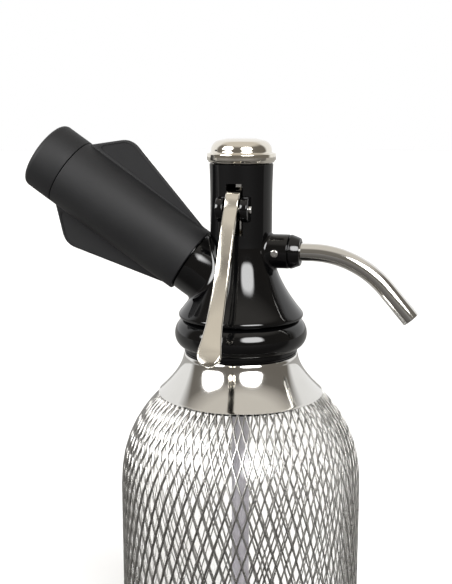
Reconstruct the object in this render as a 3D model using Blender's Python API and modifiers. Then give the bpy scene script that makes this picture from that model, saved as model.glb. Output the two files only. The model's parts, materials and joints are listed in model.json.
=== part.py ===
"""Glass soda siphon in a steel mesh, with its charger holder, lever valve and spout.

Axes: the origin is on the bottle's axis, at the bottom of the foot.  +Z is up, the spout points
along +X, the charger holder leans out along -X, and the lever hangs on the -Y side.

Turned parts are closed outlines of (radius, height) that run down the outside, then back up the
inside.  Each group that turns or slides hangs from an empty on the axis that it moves along.
"""
import math

import bmesh
import bpy
from mathutils import Matrix, Vector

MM = 0.001
GAP = 0.3 * MM               # left between two pieces that touch or run in each other
WIDE_STEPS = 32              # sides of the bottle and of what surrounds it
HEAD_STEPS = 24              # sides of the head and of the charger holder
SMALL_STEPS = 14             # sides of the small inner parts
CUT_OVER = 2 * MM            # how far a cutter runs past the face that it cuts

# Foot, base cup and glass bottle
FOOT_R = 51.0 * MM
FOOT_T = 4.2 * MM
CUP_T = 0.9 * MM
CUP_RIM_Z = 26.0 * MM
CUSHION_T = 2.6 * MM
MESH_R = 56.8 * MM           # outside of the mesh on the straight part of the bottle
MESH_T = 1.5 * MM
STRAIGHT_TOP_Z = 138.0 * MM  # where the straight part ends and the shoulder starts
SHOULDER_H = 48.6 * MM       # from there up to the mesh's top edge
SHOULDER_CURVE = 2.71        # how late the shoulder turns in
MESH_TOP_R = 39.2 * MM
MESH_FOOT_LIFT = 7.0 * MM    # from the cup's floor up to the mesh's lower edge
GLASS_T = 3.4 * MM
GLASS_FLOOR_T = 5.0 * MM
GLASS_NECK_R = 16.8 * MM
GLASS_MOUTH_R = 12.5 * MM
GLASS_BEAD_OUT = 1.8 * MM    # how far the mouth's bead stands out from the neck
GLASS_BEAD_H = 7.0 * MM
NECK_H = 39.4 * MM           # from the mesh's top edge up to the glass mouth
NECK_FOOT_DROP = 27.0 * MM   # from the mouth down to where the neck starts to widen

# Steel shoulder collar and black neck ring, counted down from the glass mouth
COLLAR_T = 0.9 * MM
COLLAR_LIP_IN = 0.1 * MM     # how far the collar's lip stands in from the ring above it
COLLAR_SWELL = 0.7 * MM      # from the lip out to the collar's waist
COLLAR_TOP_DROP = 19.5 * MM
RING_SHOULDER = 3.8 * MM     # from the ring's spigot out to its belly
RING_BULGE = 4.4 * MM        # how far the ring's belly stands out
RING_BULGE_H = 13.0 * MM
RING_TOP_DROP = 3.4 * MM     # from the mouth down to the top of the belly
RING_WALL = 2.4 * MM         # wall of the threaded spigot that the head screws on
RING_SPIGOT_RISE = 3.0 * MM  # how far the spigot stands above the glass mouth
CLAMP_WALL = 2.8 * MM
CLAMP_SPLIT = 1.2 * MM       # gap between the clamp's two halves

# Head, counted up from the glass mouth
GASKET_T = 2.7 * MM
SKIRT_DROP = 2.7 * MM        # lower edge of the skirt, below the mouth
SKIRT_WALL = 5.9 * MM        # from the skirt's thread out to its rim
FLARE_RISE = 31.0 * MM       # where the tube starts to widen into the skirt
FLARE_CURVE = 1.85           # how late the flare turns out
TUBE_R = 14.1 * MM           # waist of the head's upright tube
TUBE_TOP_RISE = 68.0 * MM
CAP_STEP = 1.9 * MM          # from the tube's waist in to the spigot for the cap
CAP_SPIGOT_H = 5.0 * MM
RISER_BORE_R = 7.2 * MM
RISER_BORE_H = 10.7 * MM
PASSAGE_R = 3.0 * MM
PASSAGE_H = 6.0 * MM
CHAMBER_R = 7.8 * MM

# Lever, its lugs and its slot
SLOT_W = 7.5 * MM
SLOT_BOTTOM_RISE = 36.5 * MM
SLOT_TOP_RISE = 59.5 * MM
PIVOT_CLEAR = 1.7 * MM       # from the tube's waist out to the lever's pin
PIVOT_RISE = 48.4 * MM
LUG_R = 5.5 * MM
LUG_T = 3.4 * MM
LUG_STEP = 0.1 * MM          # how far a lug's inner face stands back from the slot's side
LEVER_W = 6.5 * MM
LEVER_TIP_W = 10.3 * MM
LEVER_T = 4.0 * MM           # thickness near the pivot
LEVER_TIP_T = 2.6 * MM
LEVER_HUB_R = 5.0 * MM
LEVER_FRONT = (              # the lever's front face below the pivot: (outwards, downwards)
    (4.6 * MM, -0.6 * MM), (10.4 * MM, 5.8 * MM), (16.8 * MM, 16.8 * MM), (22.8 * MM, 27.8 * MM),
    (31.0 * MM, 40.0 * MM), (39.6 * MM, 50.4 * MM), (42.6 * MM, 55.4 * MM), (43.7 * MM, 59.4 * MM))
LEVER_PIN_R = 1.8 * MM
LEVER_PIN_OUT = 1.0 * MM     # how far the pin stands out of each lug
FINGER_T = 2.4 * MM
FINGER_RISE = 5.8 * MM       # underside of the finger above the pin's axis
FINGER_REACH = 3.2 * MM      # how far the finger runs past the bottle's axis

# Riser tube
RISER_R = 4.2 * MM
RISER_WALL = 1.2 * MM
RISER_CLEAR = 3.0 * MM       # from the bottle's floor up to the tube's foot

# Valve
SEAT_T = 2.3 * MM
SEAT_BORE_R = 3.2 * MM
SEAL_T = 2.2 * MM
SEAL_R = 5.2 * MM
ROD_R = 1.5 * MM
ROD_FLANGE_R = 4.6 * MM
ROD_FLANGE_T = 1.4 * MM
ROD_COLLAR_R = 5.6 * MM
ROD_COLLAR_T = 2.0 * MM
FINGER_PLAY = 0.8 * MM       # from the finger up to the rod's collar
GLAND_T = 3.7 * MM
ROD_SEAL_R = 3.5 * MM
ROD_SEAL_T = 1.3 * MM
SPRING_R = 4.1 * MM
SPRING_WIRE_R = 0.5 * MM
SPRING_TURNS = 4.5

# Top cap
CAP_RIM_OUT = 1.55 * MM      # from the tube's waist out to the cap's rim
CAP_DOME_IN = 1.85 * MM      # from the rim in to the dome
CAP_RIM_H = 4.2 * MM
CAP_SIDE_H = 7.1 * MM
CAP_CROWN_H = 3.6 * MM
CAP_LIP_IN = 0.75 * MM       # from the rim in to the lip that seats on the tube
CAP_ROOF_H = 7.0 * MM        # from the cap's lower edge up to its flat inside
WASHER_T = 1.0 * MM

# Spout, counted out from the bottle's axis
SPOUT_RISE = 28.3 * MM
SOCKET_R = 7.8 * MM
SOCKET_STEM_R = 6.0 * MM
SOCKET_STEM_IN = 0.8 * MM    # from the chamber's wall out to the socket's stem
SOCKET_END = 22.5 * MM
SOCKET_RECESS = 3.7 * MM     # depth of the threaded recess for the nut
NUT_END_R = 6.25 * MM
NUT_H = 4.9 * MM
SPOUT_SEAL_T = 1.0 * MM
SPOUT_R = 4.05 * MM
SPOUT_WALL = 0.85 * MM
SPOUT_IN = 1.1 * MM          # from the chamber's wall out to the tube's inner end
SPOUT_BEND_START = 33.0 * MM
SPOUT_BEND_R = 44.0 * MM
SPOUT_BEND = math.radians(49.5)
SPOUT_TAIL = 17.5 * MM
SCREW_OUT = 17.0 * MM        # from the bottle's axis to the clamping screw
SCREW_HEAD_R = 1.8 * MM
SCREW_R = 1.1 * MM

# Charger neck and holder, counted out along the holder's own axis
HOLDER_RISE = 6.4 * MM
HOLDER_TILT = math.radians(34.2)
INLET_R = 14.4 * MM
INLET_STEM_R = 5.0 * MM
INLET_STEM_START = 14.6 * MM
SLEEVE_START = 28.8 * MM
INLET_THREAD_L = 15.2 * MM
INLET_THREAD_R = 13.4 * MM
GAS_BORE_R = 1.5 * MM
CHECK_BORE_R = 3.3 * MM
CHECK_START = 20.0 * MM
PIN_BORE_R = 5.0 * MM
PIN_START = 27.0 * MM
PIN_PLATE_T = 4.3 * MM
PIN_NEEDLE_R = 1.1 * MM
RECESS_START = 32.0 * MM
CHARGER_GASKET_T = 1.9 * MM
CHARGER_R = 9.3 * MM
CHARGER_NECK_R = 4.3 * MM
CHARGER_L = 64.0 * MM
CHARGER_WALL = 1.2 * MM
CHARGER_HOLE_R = 1.0 * MM
CHARGER_PLAY = 0.6 * MM      # between the charger and the bores around it
SLEEVE_WALL = 2.2 * MM
SLEEVE_TAPER = 0.7 * MM      # how much wider the sleeve is at its outer end
HOLDER_CAP_SPIGOT = 6.0 * MM
HOLDER_CAP_L = 15.4 * MM
HOLDER_CAP_T = 6.0 * MM
HOLDER_CAP_ROUND = 2.6 * MM
FIN_T = 2.2 * MM
FIN_H = 14.3 * MM            # height of a fin's corner above the sleeve, before it is rounded
FIN_CORNER_R = 9.0 * MM
FIN_PEAK_BACK = 15.8 * MM    # from the sleeve's outer end back to a fin's corner
FIN_INSET = 3.0 * MM         # from the sleeve's inner end to where a fin starts

# Heights and radii that follow from the sizes above
CUP_FLOOR_Z = FOOT_T + GAP
CUSHION_Z = CUP_FLOOR_Z + CUP_T + GAP
GLASS_Z = CUSHION_Z + CUSHION_T + GAP
MESH_TOP_Z = STRAIGHT_TOP_Z + SHOULDER_H
MOUTH_Z = MESH_TOP_Z + NECK_H
BEAD_R = GLASS_NECK_R + GLASS_BEAD_OUT
SPIGOT_IN_R = GLASS_NECK_R + GAP + CLAMP_WALL + GAP
SPIGOT_R = SPIGOT_IN_R + RING_WALL
SPIGOT_TOP_Z = MOUTH_Z + RING_SPIGOT_RISE
RING_R = SPIGOT_R + RING_SHOULDER
COLLAR_LIP_R = RING_R - COLLAR_LIP_IN
COLLAR_WAIST_R = COLLAR_LIP_R + COLLAR_SWELL
SKIRT_R = SPIGOT_R + GAP + SKIRT_WALL
CEILING_Z = MOUTH_Z + GAP + GASKET_T + GAP
PASSAGE_Z = CEILING_Z + RISER_BORE_H
CHAMBER_Z = PASSAGE_Z + PASSAGE_H
TUBE_TOP_Z = MOUTH_Z + TUBE_TOP_RISE
CAP_Z = TUBE_TOP_Z + GAP
CAP_SPIGOT_R = TUBE_R - CAP_STEP
CAP_RIM_R = TUBE_R + CAP_RIM_OUT
CAP_DOME_R = CAP_RIM_R - CAP_DOME_IN
CAP_LIP_R = CAP_RIM_R - CAP_LIP_IN
SEAL_Z = CHAMBER_Z + GAP + SEAT_T + GAP
PIVOT_Z = MOUTH_Z + PIVOT_RISE
PIVOT_OUT = TUBE_R + PIVOT_CLEAR
SOCKET_STEM_START = CHAMBER_R + SOCKET_STEM_IN
SPOUT_START = CHAMBER_R + SPOUT_IN
FINGER_Z = PIVOT_Z + FINGER_RISE
ROD_COLLAR_Z = FINGER_Z + FINGER_T + FINGER_PLAY
SLEEVE_IN_R = INLET_THREAD_R + GAP
SLEEVE_R = SLEEVE_IN_R + SLEEVE_WALL
SLEEVE_END_R = SLEEVE_R + SLEEVE_TAPER
INLET_END = SLEEVE_START + INLET_THREAD_L
CHARGER_START = RECESS_START + GAP + CHARGER_GASKET_T + 2 * GAP
CHARGER_END = CHARGER_START + CHARGER_L
SLEEVE_END = CHARGER_END + 0.4 * MM
FULL_TURN = 2 * math.pi
QUARTER = math.pi / 2


# ---------------------------------------------------------------- tools

def clear_scene():
    for old in list(bpy.data.objects):
        bpy.data.objects.remove(old, do_unlink=True)


def make_collection(name):
    made = bpy.data.collections.new(name)
    bpy.context.scene.collection.children.link(made)
    return made


def finish_of(name, colour, roughness, metallic=0.0):
    """A Principled material in one colour."""
    material = bpy.data.materials.new(name)
    material.use_nodes = True
    shader = material.node_tree.nodes["Principled BSDF"]
    shader.inputs["Base Color"].default_value = (*colour, 1.0)
    shader.inputs["Roughness"].default_value = roughness
    shader.inputs["Metallic"].default_value = metallic
    return material


def empty_at(name, location, rotation=(0.0, 0.0, 0.0)):
    axis = bpy.data.objects.new(name, None)
    axis.location = location
    axis.rotation_euler = rotation
    axis.empty_display_size = 0.02
    PARTS.objects.link(axis)
    return axis


def place(obj, material, parent):
    """Put a finished shape in the parts' collection, on its axis; without a material it is a cutter."""
    if material is None:
        CUTTERS.objects.link(obj)
        obj.hide_render = True
        obj.display_type = "WIRE"
    else:
        PARTS.objects.link(obj)
        obj.data.materials.append(material)
        obj.data.shade_smooth()
        obj.data.set_sharp_from_angle(angle=math.radians(35))
    obj.parent = parent
    return obj


def turned(name, outline, steps, material=None, parent=None):
    """Turn a closed outline of (radius, height) about the local Z axis."""
    mesh = bpy.data.meshes.new(name)
    points = [(radius, 0.0, height) for radius, height in outline]
    on_axis = outline[0][0] == 0 and outline[-1][0] == 0
    count = len(points)
    edges = [(i, (i + 1) % count) for i in range(count - 1 if on_axis else count)]
    mesh.from_pydata(points, edges, [])
    obj = place(bpy.data.objects.new(name, mesh), material, parent)
    screw = obj.modifiers.new("Turn", "SCREW")
    screw.axis = "Z"
    screw.angle = FULL_TURN
    screw.steps = screw.render_steps = steps
    screw.use_merge_vertices = True
    screw.merge_threshold = 0.00001
    screw.use_smooth_shade = True
    weld = obj.modifiers.new("Close the poles", "WELD")
    weld.merge_threshold = 0.00001
    return obj


def ring(name, inner, outer, low, high, steps, material=None, parent=None):
    outline = [(outer, high), (outer, low), (inner, low), (inner, high)]
    return turned(name, outline, steps, material, parent)


def rod(name, radius, low, high, steps, material=None, parent=None):
    outline = [(0.0, high), (radius, high), (radius, low), (0.0, low)]
    return turned(name, outline, steps, material, parent)


def mesh_from_curve(curve_obj, name):
    """Turn a curve into a welded mesh object that keeps its place."""
    graph = bpy.context.evaluated_depsgraph_get()
    mesh = bpy.data.meshes.new_from_object(curve_obj.evaluated_get(graph))
    mesh.name = name
    work = bmesh.new()
    work.from_mesh(mesh)
    bmesh.ops.remove_doubles(work, verts=work.verts, dist=0.000005)
    bmesh.ops.recalc_face_normals(work, faces=work.faces)
    work.to_mesh(mesh)
    work.free()
    place_in_world = curve_obj.matrix_world.copy()
    bpy.data.objects.remove(curve_obj, do_unlink=True)
    obj = bpy.data.objects.new(name, mesh)
    obj.matrix_world = place_in_world
    return obj


def plate(name, outline, thickness, turn, material=None, parent=None):
    """A flat outline made thickness thick about its own plane, then turned by a matrix."""
    curve = bpy.data.curves.new(name, "CURVE")
    curve.dimensions = "2D"
    curve.fill_mode = "BOTH"
    curve.extrude = thickness / 2
    spline = curve.splines.new("POLY")
    spline.points.add(len(outline) - 1)
    for point, (x, y) in zip(spline.points, outline):
        point.co = (x, y, 0.0, 1.0)
    spline.use_cyclic_u = True
    holder = bpy.data.objects.new(name, curve)
    bpy.context.scene.collection.objects.link(holder)
    bpy.context.view_layer.update()
    obj = mesh_from_curve(holder, name)
    obj.data.transform(turn)
    return place(obj, material, parent)


def pipe(name, path, radius, sides, material=None, parent=None):
    """A round solid along a path, with flat ends."""
    curve = bpy.data.curves.new(name, "CURVE")
    curve.dimensions = "3D"
    curve.bevel_depth = radius
    curve.bevel_resolution = sides // 2 - 2
    curve.use_fill_caps = True
    spline = curve.splines.new("POLY")
    spline.points.add(len(path) - 1)
    for point, place_on_path in zip(spline.points, path):
        point.co = (*place_on_path, 1.0)
    holder = bpy.data.objects.new(name, curve)
    bpy.context.scene.collection.objects.link(holder)
    bpy.context.view_layer.update()
    return place(mesh_from_curve(holder, name), material, parent)


def block(name, low, high, parent=None):
    """A box between two corners, for cutting."""
    work = bmesh.new()
    bmesh.ops.create_cube(work, size=1.0)
    size = [top - bottom for bottom, top in zip(low, high)]
    middle = [(top + bottom) / 2 for bottom, top in zip(low, high)]
    bmesh.ops.scale(work, vec=size, verts=work.verts)
    bmesh.ops.translate(work, vec=middle, verts=work.verts)
    mesh = bpy.data.meshes.new(name)
    work.to_mesh(mesh)
    work.free()
    return place(bpy.data.objects.new(name, mesh), None, parent)


def combine(obj, other, operation):
    change = obj.modifiers.new(other.name, "BOOLEAN")
    change.operation = operation
    change.solver = "EXACT"
    change.object = other


def cut(obj, *cutters):
    for cutter in cutters:
        combine(obj, cutter, "DIFFERENCE")


def join(obj, *pieces):
    for piece in pieces:
        combine(obj, piece, "UNION")


def arc(centre, radii, start, end, count):
    """Points along part of an ellipse, angles in degrees from +radius towards +height."""
    points = []
    for step in range(count + 1):
        angle = math.radians(start + (end - start) * step / count)
        points.append((centre[0] + radii[0] * math.cos(angle), centre[1] + radii[1] * math.sin(angle)))
    return points


def moved_inwards(outline, distance):
    """The outline of a shell's inner face: each point moved in, square to the curve there."""
    moved = []
    last = len(outline) - 1
    for index, (radius, height) in enumerate(outline):
        before = outline[max(index - 1, 0)]
        after = outline[min(index + 1, last)]
        run = Vector((after[0] - before[0], after[1] - before[1])).normalized()
        moved.append((radius + run.y * distance, height - run.x * distance))
    return moved


# ---------------------------------------------------------------- shared outlines

def mesh_outline():
    """The mesh's outer face from its top edge down: a rounded shoulder, then a straight wall."""
    outline = []
    steps = 6
    for step in range(steps + 1):
        part = 1 - step / steps
        radius = MESH_R - (MESH_R - MESH_TOP_R) * part ** SHOULDER_CURVE
        outline.append((radius, STRAIGHT_TOP_Z + SHOULDER_H * part))
    return outline + [(MESH_R, CUP_FLOOR_Z + CUP_T + MESH_FOOT_LIFT)]


def head_outline():
    """The head's outer face from the top of the tube down to the skirt's lower edge."""
    skirt = MOUTH_Z - SKIRT_DROP
    flare_top = MOUTH_Z + FLARE_RISE
    flare_end = skirt + 2 * MM
    neck_r = TUBE_R + 0.25 * MM
    outline = [(TUBE_R + 0.4 * MM, TUBE_TOP_Z), (TUBE_R, (TUBE_TOP_Z + flare_top) / 2)]
    steps = 9
    for step in range(steps + 1):
        part = step / steps
        radius = neck_r + (SKIRT_R - neck_r) * part ** FLARE_CURVE
        outline.append((radius, flare_top + (flare_end - flare_top) * part))
    return outline + [(SKIRT_R - 0.2 * MM, skirt + 0.9 * MM), (SKIRT_R - 1.9 * MM, skirt)]


def head_keep_out(name, parent):
    """A cutter for what seats on the head: its outer shape, larger by the gap."""
    outline = moved_inwards(head_outline(), -GAP)
    solid = [(0.0, outline[0][1])] + outline + [(0.0, outline[-1][1])]
    return turned(name, solid, HEAD_STEPS, None, parent)


def rounded(before, corner, after, radius, steps):
    """The points of an arc that rounds a corner between two straight lines."""
    tip = Vector(corner)
    to_before = (Vector(before) - tip).normalized()
    to_after = (Vector(after) - tip).normalized()
    half = to_before.angle(to_after) / 2
    centre = tip + (to_before + to_after).normalized() * radius / math.sin(half)
    first = tip + to_before * radius / math.tan(half) - centre
    last = tip + to_after * radius / math.tan(half) - centre
    sweep = first.angle_signed(last)
    points = []
    for step in range(steps + 1):
        turn = Matrix.Rotation(-sweep * step / steps, 2)
        points.append(tuple(centre + turn @ first))
    return points


# ---------------------------------------------------------------- bottle

def build_foot_and_cup():
    foot = [(0.0, FOOT_T), (FOOT_R - 1 * MM, FOOT_T), (FOOT_R, 1 * MM), (FOOT_R - 1 * MM, 0.0), (0.0, 0.0)]
    turned("foot_pad", foot, WIDE_STEPS, FOOT_RUBBER)

    inner_r = MESH_R + GAP
    outer_r = inner_r + CUP_T
    floor_z = CUP_FLOOR_Z + CUP_T
    corner = 4 * MM
    inside = [(0.0, floor_z)] + arc((inner_r - corner, floor_z + corner), (corner, corner), -90, 0, 3)
    outside = arc((outer_r - corner, CUP_FLOOR_Z + corner), (corner, corner), 0, -90, 3)
    rim = [(inner_r, CUP_RIM_Z), (outer_r, CUP_RIM_Z)]
    turned("base_cup", inside + rim + outside + [(0.0, CUP_FLOOR_Z)], WIDE_STEPS, STEEL)
    ring("base_cushion", FOOT_R / 2, FOOT_R - 2 * MM, CUSHION_Z, CUSHION_Z + CUSHION_T, WIDE_STEPS, FOOT_RUBBER)


def build_glass_and_mesh():
    outer = mesh_outline()
    inner = moved_inwards(outer, MESH_T)
    inner[-1] = (inner[-1][0], outer[-1][1])
    turned("mesh_sleeve", outer + inner[::-1], WIDE_STEPS, MESH_STEEL)

    foot_z = MOUTH_Z - NECK_FOOT_DROP
    bead_z = MOUTH_Z - GLASS_BEAD_H
    shoulder = moved_inwards(outer, MESH_T + GAP)[:-1]
    shoulder_in = moved_inwards(outer, MESH_T + GAP + GLASS_T)[:-1]
    heel = 9 * MM
    outside = [(BEAD_R, MOUTH_Z), (BEAD_R, bead_z), (GLASS_NECK_R, bead_z)]
    top_r, top_z = shoulder[0]
    outside += arc((top_r, foot_z), (GLASS_NECK_R - top_r, top_z - foot_z), 0, 90, 3)[:-1] + shoulder
    wall_r = shoulder[-1][0]
    outside += arc((wall_r - heel, GLASS_Z + heel), (heel, heel), 0, -90, 3) + [(0.0, GLASS_Z)]
    top_r, top_z = shoulder_in[0]
    inside = arc((top_r, foot_z), (GLASS_MOUTH_R - top_r, top_z - foot_z), 0, 90, 3)[:-1] + shoulder_in
    wall_r = shoulder_in[-1][0]
    floor_z = GLASS_Z + GLASS_FLOOR_T
    bend = heel - GLASS_T
    inside += arc((wall_r - bend, floor_z + bend), (bend, bend), 0, -90, 2) + [(0.0, floor_z)]
    turned("glass_bottle", inside[::-1] + [(GLASS_MOUTH_R, MOUTH_Z)] + outside, WIDE_STEPS, GLASS)


def build_collar_and_ring():
    top_z = MOUTH_Z - COLLAR_TOP_DROP
    edge_z = MESH_TOP_Z + 2 * GAP
    edge_r = MESH_TOP_R - GAP
    waist_z = top_z - 3 * MM
    drop = waist_z - edge_z
    spread = edge_r - COLLAR_WAIST_R
    outer = [(COLLAR_LIP_R, top_z), (COLLAR_LIP_R, top_z - COLLAR_T)]
    steps = 5
    for step in range(steps + 1):
        part = step / steps
        outer.append((COLLAR_WAIST_R + spread * part ** 1.9, waist_z - drop * part))
    inner = moved_inwards(outer[2:], COLLAR_T)[::-1]
    hole_r = GLASS_NECK_R + GAP
    under_z = top_z - COLLAR_T
    flange = [(COLLAR_LIP_R - COLLAR_T, under_z), (hole_r, under_z), (hole_r, top_z)]
    turned("shoulder_collar", outer + inner + flange, WIDE_STEPS, STEEL)

    belly_top = MOUTH_Z - RING_TOP_DROP
    belly = arc((RING_R, belly_top - RING_BULGE_H / 2), (RING_BULGE, RING_BULGE_H / 2), 90, -90, 7)
    low_z = top_z + GAP
    shelf_z = low_z + 2.6 * MM
    outline = [(SPIGOT_R, SPIGOT_TOP_Z), (SPIGOT_R, belly_top)] + belly + [(RING_R - GAP, low_z), (hole_r, low_z)]
    outline += [(hole_r, shelf_z), (SPIGOT_IN_R, shelf_z), (SPIGOT_IN_R, SPIGOT_TOP_Z)]
    turned("neck_ring", outline, WIDE_STEPS, GLOSS_BLACK)

    clamp_low = shelf_z + GAP
    clamp_high = MOUTH_Z - GLASS_BEAD_H - GAP
    far = 2 * SPIGOT_IN_R
    for side, name in ((1, "neck_clamp_front"), (-1, "neck_clamp_back")):
        clamp = ring(name, hole_r, hole_r + CLAMP_WALL, clamp_low, clamp_high, WIDE_STEPS, WHITE_PLASTIC)
        near = -side * CLAMP_SPLIT / 2
        low = (-far, min(near, side * far), clamp_low - CUT_OVER)
        high = (far, max(near, side * far), clamp_high + CUT_OVER)
        cut(clamp, block(name + "_half", low, high))


# ---------------------------------------------------------------- head

def build_head(head):
    skirt_z = MOUTH_Z - SKIRT_DROP
    thread_r = SPIGOT_R + GAP
    inside = [(thread_r, skirt_z), (thread_r, CEILING_Z), (RISER_BORE_R, CEILING_Z), (RISER_BORE_R, PASSAGE_Z),
              (PASSAGE_R, PASSAGE_Z), (PASSAGE_R, CHAMBER_Z), (CHAMBER_R, CHAMBER_Z),
              (CHAMBER_R, TUBE_TOP_Z + CAP_SPIGOT_H)]
    spigot = [(CAP_SPIGOT_R, TUBE_TOP_Z + CAP_SPIGOT_H), (CAP_SPIGOT_R, TUBE_TOP_Z)]
    body = turned("head_body", spigot + head_outline() + inside, HEAD_STEPS, GLOSS_BLACK, head)

    lug_in = SLOT_W / 2 + LUG_STEP
    lug_x = lug_in + LUG_T / 2
    nose = arc((-PIVOT_OUT, PIVOT_Z), (LUG_R, LUG_R), -90, -270, 8)
    # The lugs' roots end inside the tube's wall, halfway between its outer face and its bore.
    root = (math.sqrt(TUBE_R ** 2 - (lug_in + LUG_T) ** 2) + math.sqrt(CHAMBER_R ** 2 - lug_in ** 2)) / 2
    lug_outline = nose + [(-root, PIVOT_Z + LUG_R), (-root, PIVOT_Z - LUG_R)]
    pin_axis = empty_at("lug_hole_axis", (0, -PIVOT_OUT, PIVOT_Z), (0, QUARTER, 0))
    pin_hole = rod("lug_hole", LEVER_PIN_R + GAP, -TUBE_R, TUBE_R, SMALL_STEPS, None, pin_axis)
    for side, name in ((-1, "lug_left"), (1, "lug_right")):
        turn = Matrix.Translation((side * lug_x, 0, 0)) @ SIDE_VIEW
        lug = plate(name, lug_outline, LUG_T, turn, None, head)
        cut(lug, pin_hole)
        join(body, lug)
    slot = block("lever_slot", (-SLOT_W / 2, -TUBE_R - LUG_R, MOUTH_Z + SLOT_BOTTOM_RISE),
                 (SLOT_W / 2, 0, MOUTH_Z + SLOT_TOP_RISE), head)
    spout_axis = empty_at("spout_hole_axis", (0, 0, MOUTH_Z + SPOUT_RISE), (0, QUARTER, 0))
    spout_hole = rod("spout_hole", SOCKET_STEM_R + GAP, CHAMBER_R / 2, SOCKET_END, SMALL_STEPS, None, spout_axis)
    inlet_hole_outline = [(0.0, SLEEVE_START), (INLET_STEM_R + GAP, SLEEVE_START),
                          (INLET_STEM_R + GAP, INLET_STEM_START - GAP), (GAS_BORE_R, INLET_STEM_START - GAP),
                          (GAS_BORE_R, RISER_BORE_R / 2), (0.0, RISER_BORE_R / 2)]
    inlet_axis = empty_at("inlet_hole_axis", *HOLDER_PLACE)
    inlet_hole = turned("inlet_hole", inlet_hole_outline, SMALL_STEPS, None, inlet_axis)
    cut(body, slot, spout_hole, inlet_hole)

    gasket_r = SPIGOT_IN_R - 2 * GAP
    ring("head_gasket", GLASS_MOUTH_R + GAP, min(gasket_r, BEAD_R), MOUTH_Z + GAP, MOUTH_Z + GAP + GASKET_T,
         HEAD_STEPS, SEAL_RUBBER, head)


def build_riser(head):
    hole_r = RISER_R + GAP
    flange_r = GLASS_MOUTH_R - 3.5 * MM
    flange_z = CEILING_Z - GAP
    nut = [(RISER_BORE_R - GAP, PASSAGE_Z - GAP), (RISER_BORE_R - GAP, flange_z), (flange_r, flange_z),
           (flange_r, MOUTH_Z), (hole_r, MOUTH_Z), (hole_r, PASSAGE_Z - GAP)]
    turned("riser_nut", nut, SMALL_STEPS, WHITE_PLASTIC, head)
    foot_z = GLASS_Z + GLASS_FLOOR_T + RISER_CLEAR
    ring("riser_tube", RISER_R - RISER_WALL, RISER_R, foot_z, PASSAGE_Z - 3 * GAP, SMALL_STEPS, RISER_PLASTIC, head)


def build_valve(head):
    ring("valve_seat", SEAT_BORE_R, CHAMBER_R - GAP, CHAMBER_Z + GAP, CHAMBER_Z + GAP + SEAT_T,
         SMALL_STEPS, BRASS, head)
    ring("valve_seal", ROD_R + GAP, SEAL_R, SEAL_Z, SEAL_Z + SEAL_T, SMALL_STEPS, SEAL_RUBBER, head)
    flange_z = SEAL_Z + SEAL_T + GAP
    guide_top = ROD_COLLAR_Z + ROD_COLLAR_T + 4 * MM
    guide_r = SPRING_R - SPRING_WIRE_R - 1 * MM
    stem = [(0.0, guide_top), (guide_r, guide_top), (guide_r, ROD_COLLAR_Z + ROD_COLLAR_T),
            (ROD_COLLAR_R, ROD_COLLAR_Z + ROD_COLLAR_T), (ROD_COLLAR_R, ROD_COLLAR_Z), (ROD_R, ROD_COLLAR_Z),
            (ROD_R, flange_z + ROD_FLANGE_T), (ROD_FLANGE_R, flange_z + ROD_FLANGE_T), (ROD_FLANGE_R, flange_z),
            (ROD_R, flange_z), (ROD_R, SEAL_Z + GAP), (0.0, SEAL_Z + GAP)]
    turned("valve_rod", stem, SMALL_STEPS, STEEL, head)

    gland_top = MOUTH_Z + SLOT_BOTTOM_RISE - GAP
    seal_z = gland_top - ROD_SEAL_T - GAP
    pocket_r = ROD_SEAL_R + GAP
    gland = [(CHAMBER_R - GAP, gland_top), (CHAMBER_R - GAP, gland_top - GLAND_T),
             (ROD_R + GAP, gland_top - GLAND_T), (ROD_R + GAP, seal_z - GAP), (pocket_r, seal_z - GAP),
             (pocket_r, gland_top)]
    turned("valve_gland", gland, SMALL_STEPS, BRASS, head)
    ring("rod_seal", ROD_R + GAP, ROD_SEAL_R, seal_z, seal_z + ROD_SEAL_T, SMALL_STEPS, SEAL_RUBBER, head)

    low = ROD_COLLAR_Z + ROD_COLLAR_T + GAP + SPRING_WIRE_R
    high = CAP_Z + CAP_ROOF_H - GAP - SPRING_WIRE_R
    count = round(SPRING_TURNS * 12)
    coil = []
    for step in range(count + 1):
        angle = FULL_TURN * SPRING_TURNS * step / count
        height = low + (high - low) * step / count
        coil.append((SPRING_R * math.cos(angle), SPRING_R * math.sin(angle), height))
    pipe("valve_spring", coil, SPRING_WIRE_R, 8, STEEL, head)


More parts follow.
